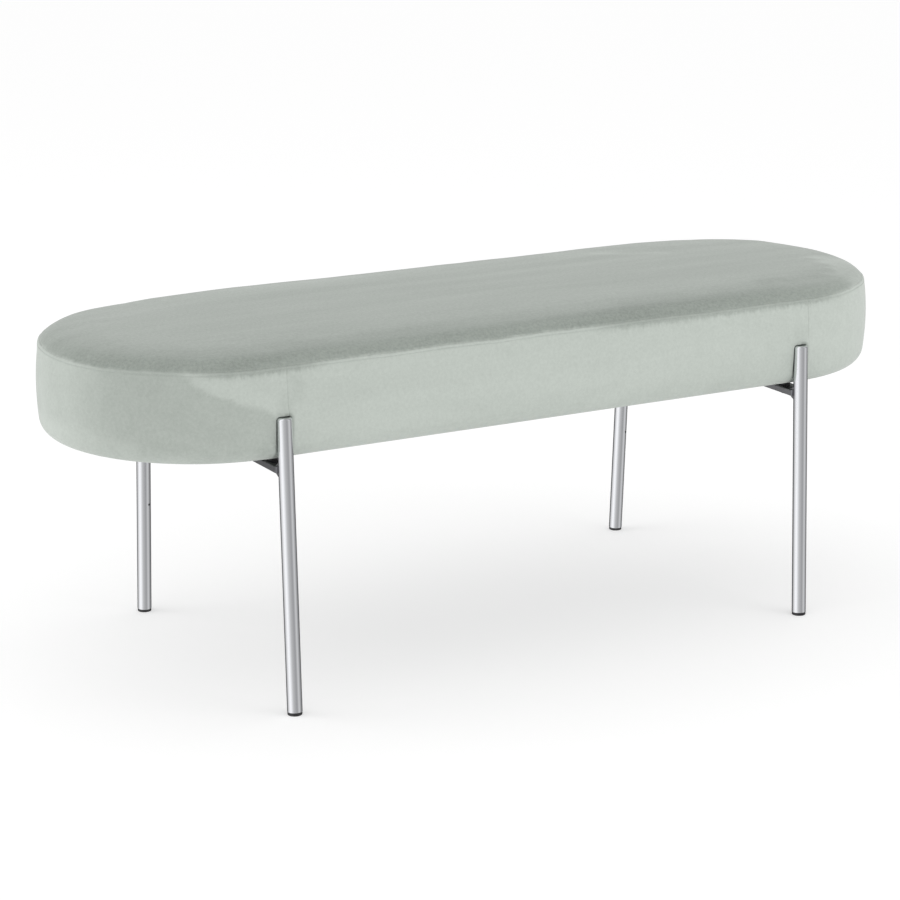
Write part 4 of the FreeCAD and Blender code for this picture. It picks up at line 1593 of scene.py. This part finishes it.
@dataclass(frozen=True)
class Velvet:
    """Soft velvet with a short pile, brushed lighter and darker in long strokes.

    The fray and span values are in millimetres along the section, from the seam's crease.
    """

    dark: Color = paint(124, 131, 124)
    light: Color = paint(215, 222, 215)
    sheen: float = 0.3
    sheen_roughness: float = 0.4
    specular: float = 0.15
    roughness: Pair = (0.82, 0.97)
    ragged_scale: float = 110.0
    edge_fray: float = 3.0
    edge_span: Pair = (-2.6, 3.8)
    streak_scale: tuple = (240.0, 240.0, 40.0)
    streak_fray: float = 6.0
    halo_fray: float = 5.0
    halo_span: Pair = (-13.0, -2.0)
    halo_depth: float = 0.3
    stroke_scale: tuple = (4.0, 55.0, 40.0)
    drift_scale: tuple = (0.6, 1.5, 1.6)
    uneven_share: float = 0.05
    pile_scale: float = 2600.0
    mottle_scale: float = 820.0
    mottle_share: float = 0.10
    top_mottle: float = 0.04
    mottle_height: float = 0.8
    bump_depth: float = 0.25 * MM

    def material(self, effects: Effects) -> bpy.types.Material:
        """Make the velvet's material.

        Args:
            effects: the shared node groups.

        Returns:
            The material.
        """
        coat = Coat("sage_velvet", effects, Sheen_Weight=self.sheen, Sheen_Roughness=self.sheen_roughness,
                    Specular_IOR_Level=self.specular)
        wiring = coat.wiring
        edge = wiring.add("Attribute", attribute_name="nap_edge").outputs["Fac"]
        ragged = wiring.math("SUBTRACT", coat.patches(self.ragged_scale, 0.3), 0.5)
        frayed = wiring.math("ADD", edge, wiring.math("MULTIPLY", ragged, self.edge_fray))
        over = wiring.spread(frayed, self.edge_span, soft=True)
        pile = coat.grain(self.pile_scale)
        mottle = coat.grain(self.mottle_scale)
        nap = self.seam_nap(coat, edge, ragged, over)
        coarse = wiring.math("ADD", wiring.math("MULTIPLY", over, self.top_mottle), self.mottle_share)
        for part, share in ((coat.patches(1.0, 0.22, coat.stretched(*self.stroke_scale)), self.uneven_share),
                            (coat.patches(7.0, 0.25, coat.stretched(*self.drift_scale)), self.uneven_share),
                            (mottle.outputs["Mask"], coarse), (pile.outputs["Mask"], self.uneven_share)):
            change = wiring.math("MULTIPLY", wiring.math("SUBTRACT", part, 0.5), share)
            nap = wiring.math("ADD", nap, change)
        nap = wiring.math("ADD", nap, 0.0, clamp=True)
        coat.feed(Base_Color=wiring.blend(nap, self.dark, self.light),
                  Roughness=wiring.spread(pile.outputs["Mask"], given=self.roughness))
        coarse_height = wiring.math("MULTIPLY", mottle.outputs["Height"], self.mottle_height)
        coat.bump(wiring.math("ADD", pile.outputs["Height"], coarse_height), self.bump_depth, 0.6)
        return coat.material

    def seam_nap(self, coat: Coat, edge: object, ragged: object, over: object) -> object:
        """Join the band's nap to the top's at the seam, with the dark frayed halo under the lip.

        Args:
            coat: the material being made.
            edge: the rise above the seam's crease.
            ragged: the patches that fray both edges.
            over: the top's share.

        Returns:
            The nap's socket.
        """
        wiring = coat.wiring
        # nap_top and nap_side carry the pile's tone together with painted shade and painted highlights
        top, side, fray = (wiring.add("Attribute", attribute_name=f"nap_{name}").outputs["Fac"]
                           for name in ("top", "side", "fray"))
        streaks = coat.patches(1.0, 0.3, coat.stretched(*self.streak_scale))
        streaks = wiring.math("MULTIPLY", wiring.math("SUBTRACT", streaks, 0.5), self.streak_fray)
        streaks = wiring.math("ADD", streaks, wiring.math("MULTIPLY", ragged, self.halo_fray))
        halo = wiring.spread(wiring.math("ADD", edge, streaks), self.halo_span, soft=True)
        shade = wiring.math("MULTIPLY", wiring.math("MULTIPLY", halo, fray), self.halo_depth)
        side = wiring.math("SUBTRACT", side, shade)
        return wiring.math("ADD", side, wiring.math("MULTIPLY", over, wiring.math("SUBTRACT", top, side)))


@dataclass(frozen=True)
class PolishedChrome:
    """Bright chrome plate with faint wiping marks."""

    color: Color = (0.86, 0.87, 0.89)
    smeared: Color = (0.86 * 0.97, 0.87 * 0.97, 0.89 * 0.97)
    roughness: Pair = (0.05, 0.12)

    def material(self, effects: Effects) -> bpy.types.Material:
        """Make the chrome's material.

        Args:
            effects: the shared node groups.

        Returns:
            The material.
        """
        coat = Coat("polished_chrome", effects, Metallic=1.0)
        smears = coat.patches(14.0, 0.3, coat.stretched(1.0, 1.0, 0.25))
        ripple = coat.grain(60.0, coat.stretched(1.0, 1.0, 0.1))
        coat.feed(Base_Color=coat.wiring.blend(smears, self.color, self.smeared),
                  Roughness=coat.wiring.spread(smears, given=self.roughness))
        coat.bump(ripple.outputs["Height"], 0.02 * MM, 0.3)
        return coat.material


@dataclass(frozen=True)
class Metal:
    """A duller metal with a fine drawn grain and slightly uneven tone."""

    name: str
    color: Color
    worn: Color
    roughness: float
    grain_scale: float = 700.0

    def material(self, effects: Effects) -> bpy.types.Material:
        """Make the metal's material.

        Args:
            effects: the shared node groups.

        Returns:
            The material.
        """
        coat = Coat(self.name, effects, Metallic=1.0)
        drawn = coat.grain(self.grain_scale, coat.stretched(1.0, 0.08, 1.0))
        stains = coat.patches(45.0, 0.2)
        spread = coat.wiring.math("MULTIPLY", drawn.outputs["Mask"], 0.12)
        coat.feed(Base_Color=coat.wiring.blend(stains, self.color, self.worn),
                  Roughness=coat.wiring.math("ADD", spread, self.roughness))
        coat.bump(drawn.outputs["Height"], 0.05 * MM, 0.4)
        return coat.material


@dataclass(frozen=True)
class MouldedPlastic:
    """Black plastic with a fine moulded grain, slightly scuffed."""

    color: Color = (0.018, 0.018, 0.02)
    scuffed: Color = (0.05, 0.05, 0.052)
    roughness: float = 0.42

    def material(self, effects: Effects) -> bpy.types.Material:
        """Make the plastic's material.

        Args:
            effects: the shared node groups.

        Returns:
            The material.
        """
        coat = Coat("black_moulding", effects, Specular_IOR_Level=0.4)
        grain = coat.grain(1500.0)
        scuffs = coat.patches(120.0, 0.12)
        spread = coat.wiring.math("MULTIPLY", scuffs, 0.2)
        coat.feed(Base_Color=coat.wiring.blend(scuffs, self.color, self.scuffed),
                  Roughness=coat.wiring.math("ADD", spread, self.roughness))
        coat.bump(grain.outputs["Height"], 0.06 * MM, 0.6)
        return coat.material


@dataclass(frozen=True)
class Fibres:
    """A soft or felted stuff of fibres or pores: foam, wadding, thread or the black underside cloth."""

    name: str
    color: Color
    shade: Color
    scale: float
    depth: float
    sheen: float = 0.1
    roughness: Pair = (0.85, 1.0)

    def material(self, effects: Effects) -> bpy.types.Material:
        """Make the stuff's material.

        Args:
            effects: the shared node groups.

        Returns:
            The material.
        """
        coat = Coat(self.name, effects, Sheen_Weight=self.sheen, Specular_IOR_Level=0.2)
        fibres = coat.grain(self.scale)
        blotches = coat.patches(30.0, 0.25)
        tone = coat.wiring.math("MULTIPLY", coat.wiring.math("ADD", fibres.outputs["Mask"], blotches), 0.5)
        coat.feed(Base_Color=coat.wiring.blend(tone, self.shade, self.color),
                  Roughness=coat.wiring.spread(fibres.outputs["Mask"], given=self.roughness))
        coat.bump(fibres.outputs["Height"], self.depth, 0.8)
        return coat.material


@dataclass(frozen=True)
class PlainBoard:
    """Pale board, its grain running along the bench."""

    light: Color = paint(214, 184, 140)
    dark: Color = paint(172, 136, 92)
    roughness: Pair = (0.55, 0.8)

    def material(self, effects: Effects) -> bpy.types.Material:
        """Make the board's material.

        Args:
            effects: the shared node groups.

        Returns:
            The material.
        """
        coat = Coat("pale_board", effects, Specular_IOR_Level=0.3)
        rings = coat.patches(1.0, 0.18, coat.stretched(2.5, 70.0, 90.0))
        pores = coat.grain(500.0, coat.stretched(0.05, 1.0, 1.0))
        tone = coat.wiring.math("MULTIPLY", coat.wiring.math("ADD", rings, pores.outputs["Mask"]), 0.5)
        coat.feed(Base_Color=coat.wiring.blend(tone, self.dark, self.light),
                  Roughness=coat.wiring.spread(pores.outputs["Mask"], given=self.roughness))
        coat.bump(pores.outputs["Height"], 0.1 * MM, 0.5)
        return coat.material


# Stage


def towards(azimuth: float, elevation: float) -> Vector:
    """The direction that lies some degrees round from the front and some degrees up."""
    turn, rise = math.radians(azimuth), math.radians(elevation)
    return Vector((math.sin(turn) * math.cos(rise), -math.cos(turn) * math.cos(rise), math.sin(rise)))


@dataclass(frozen=True)
class Lamp:
    """A large soft lamp: its place in degrees and metres from the bench, its size and its power."""

    name: str
    azimuth: float
    elevation: float = 25
    distance: float = 3.2
    size: float = 2.0
    power: float = 15


@dataclass
class Studio:
    """A pale floor, soft studio light and the camera at the photograph's angle."""

    azimuth: float = -30.095
    elevation: float = 15.426
    roll: float = 0.185
    distance: float = 3.6217
    focal_pixels: float = 2708.5
    aim_level: float = 0.23
    slide: Pair = (-0.02969, -0.00145)
    picture: float = 900.0
    sensor: float = 36.0
    floor_size: float = 40
    floor_grey: float = 0.65
    floor_glow: float = 0.43
    floor_roughness: float = 0.9
    sky_bands: tuple = ((-180, 1.0), (-165, 0.94), (-148, 0.73), (-134, 0.55), (-118, 0.46), (-104, 0.41),
                        (-89, 0.36), (-75, 0.35), (-57, 0.52), (-42, 0.6), (-21, 0.38), (3, 0.22), (30, 0.1),
                        (95, 0.1), (117, 0.22), (130, 0.46), (145, 0.68), (165, 0.9), (180, 1.0))
    sky_blue: float = 1.01
    mirrored_strength: float = 1.1
    plain_strength: float = 0.85
    lamps: tuple = (Lamp("key", 35), Lamp("rim", -120))
    lamp_aim: tuple = (0, 0, 0.38)

    def build(self) -> None:
        """Set up the floor, the lights, the sky and the camera."""
        self.camera()
        self.floor()
        self.sky()
        self.lights()
        view = bpy.context.scene.view_settings
        view.view_transform = "Standard"
        view.look = "None"

    def camera(self) -> None:
        """Place the camera as the photograph's outline and legs place it."""
        back, roll = towards(self.azimuth, self.elevation), math.radians(self.roll)
        flat = Vector((-back.y, back.x, 0)).normalized()
        upright = back.cross(flat)
        right = flat * math.cos(roll) + upright * math.sin(roll)
        up = upright * math.cos(roll) - flat * math.sin(roll)
        spot = Vector((0, 0, self.aim_level)) + back * self.distance
        spot += right * self.slide[0] + up * self.slide[1]
        data = bpy.data.cameras.new("camera")
        data.sensor_width = self.sensor
        data.lens = self.focal_pixels * self.sensor / self.picture
        item = bpy.data.objects.new("camera", data)
        bpy.context.collection.objects.link(item)
        axes = Matrix((right, up, back)).transposed().to_4x4()
        item.matrix_world = Matrix.Translation(spot) @ axes
        bpy.context.scene.camera = item

    def floor(self) -> None:
        """A large pale floor."""
        deselect()
        bpy.ops.mesh.primitive_plane_add(size=self.floor_size, location=(0, 0, 0))
        item = bpy.context.object
        item.name = "floor"
        material = bpy.data.materials.new("pale_floor")
        material.use_nodes = True
        shader = material.node_tree.nodes["Principled BSDF"]
        grey = self.floor_grey
        for name, given in (("Base Color", (grey, grey, grey, 1)), ("Emission Color", (1, 1, 1, 1)),
                            ("Emission Strength", self.floor_glow), ("Roughness", self.floor_roughness),
                            ("Specular IOR Level", 0.0)):
            shader.inputs[name].default_value = given
        item.data.materials.append(material)
        item.visible_glossy = False

    def sky(self) -> None:
        """Soft light from all round, white to the camera and banded like a studio in reflections."""
        world = bpy.data.worlds.new("studio")
        bpy.context.scene.world = world
        world.use_nodes = True
        wiring = Wiring(world.node_tree)
        ray = wiring.add("LightPath")
        coords = wiring.add("TexCoord")
        parts = wiring.add("SeparateXYZ", {0: coords.outputs["Generated"]})
        turn = wiring.math("ARCTAN2", parts.outputs[1], parts.outputs[0])
        share = wiring.math("ADD", wiring.math("DIVIDE", turn, 2 * math.pi), 0.5)
        ramp = wiring.add("ValToRGB", {0: share})
        while len(ramp.color_ramp.elements) < len(self.sky_bands):
            ramp.color_ramp.elements.new(0.5)
        for entry, (degrees, light) in zip(ramp.color_ramp.elements, self.sky_bands):
            entry.position = (degrees + 180) / 360
            entry.color = (light, light, light * self.sky_blue, 1)
        mirrored, plain, seen = (wiring.add("Background", {0: color, 1: strength}).outputs[0]
                                 for color, strength in ((ramp.outputs[0], self.mirrored_strength),
                                                         ((1, 1, 1, 1), self.plain_strength),
                                                         ((1, 1, 1, 1), 1.0)))
        unseen = wiring.add("MixShader", {0: ray.outputs["Is Glossy Ray"], 1: plain, 2: mirrored})
        both = wiring.add("MixShader", {0: ray.outputs["Is Camera Ray"], 1: unseen.outputs[0], 2: seen})
        wiring.add("OutputWorld", {0: both.outputs[0]})

    def lights(self) -> None:
        """Large soft lamps round the bench."""
        for lamp in self.lamps:
            back = towards(lamp.azimuth, lamp.elevation)
            data = bpy.data.lights.new(lamp.name, "AREA")
            data.shape = "DISK"
            data.size = lamp.size
            data.energy = lamp.power
            item = bpy.data.objects.new(lamp.name, data)
            bpy.context.collection.objects.link(item)
            item.location = Vector(self.lamp_aim) + back * lamp.distance
            item.rotation_mode = "QUATERNION"
            item.rotation_quaternion = back.to_track_quat("Z", "Y")
            item.visible_camera = False
            item.visible_glossy = False


# Assembly


def repaint(node: bpy.types.Object, material: bpy.types.Material) -> None:
    """Give a CAD node's object a better material."""
    for slot in node.material_slots:
        slot.link = "OBJECT"
        slot.material = material


@dataclass
class Hardware:
    """The CAD nodes that keep their own shape: legs, bars, glides, fixings and the timber carcass."""

    effects: Effects

    def dress(self, underside: bpy.types.Material, padding: bpy.types.Material) -> None:
        """Give each of them its finish.

        Args:
            underside: the finish of the black cloth.
            padding: the finish of the foam.
        """
        finishes = {
            "chromed_steel": PolishedChrome().material(self.effects),
            "satin_bar_steel": Metal("satin_steel", color=(0.30, 0.30, 0.31), worn=(0.34, 0.34, 0.35),
                                     roughness=0.26).material(self.effects),
            "black_plastic": MouldedPlastic().material(self.effects),
            "zinc_fixings": Metal("zinc_plate", color=(0.56, 0.56, 0.54), worn=(0.66, 0.65, 0.6),
                                  roughness=0.28).material(self.effects),
            "timber": PlainBoard().material(self.effects),
            "black_cloth": underside,
            "padding": padding,
        }
        for part in frame["record"]["subparts"]:
            node, slot = part["node"], part["material_slot"]
            if slot in finishes and node in frame["nodes"]:
                repaint(frame["nodes"][node], finishes[slot])
        log.info("hardware dressed in %d finishes", len(finishes))


def main() -> None:
    """Build and dress the bench, then set the stage."""
    logging.basicConfig(level=logging.INFO, format="%(name)s: %(message)s")
    effects = Effects()
    form = SeatForm()
    hollows = LegHollows()
    velvet = Velvet().material(effects)
    thread = Fibres("sewing_thread", color=paint(188, 194, 188), shade=paint(168, 174, 168), scale=2400.0,
                    depth=0.05 * MM).material(effects)
    foam = Fibres("cream_foam", color=paint(238, 230, 205), shade=paint(212, 200, 168), scale=420.0,
                  depth=0.3 * MM).material(effects)
    wadding = Fibres("white_wadding", color=paint(240, 240, 238), shade=paint(216, 216, 214), scale=160.0,
                     depth=0.6 * MM).material(effects)
    felt = Fibres("black_felt", color=(0.045, 0.045, 0.048), shade=(0.02, 0.02, 0.021), scale=900.0,
                  depth=0.12 * MM).material(effects)
    pad = SwollenPad(form)
    pad.build()
    cover = VelvetCover(form, pad, hollows)
    panels = cover.build()
    cover.dress(panels, velvet)
    Topstitching(cover).build(thread)
    InnerPadding(form, pad, hollows).build(wadding, foam)
    bpy.data.objects.remove(pad.item)
    UndersideCloth(form).build(felt)
    Hardware(effects).dress(felt, foam)
    Studio().build()


if __name__ == "__main__":
    main()
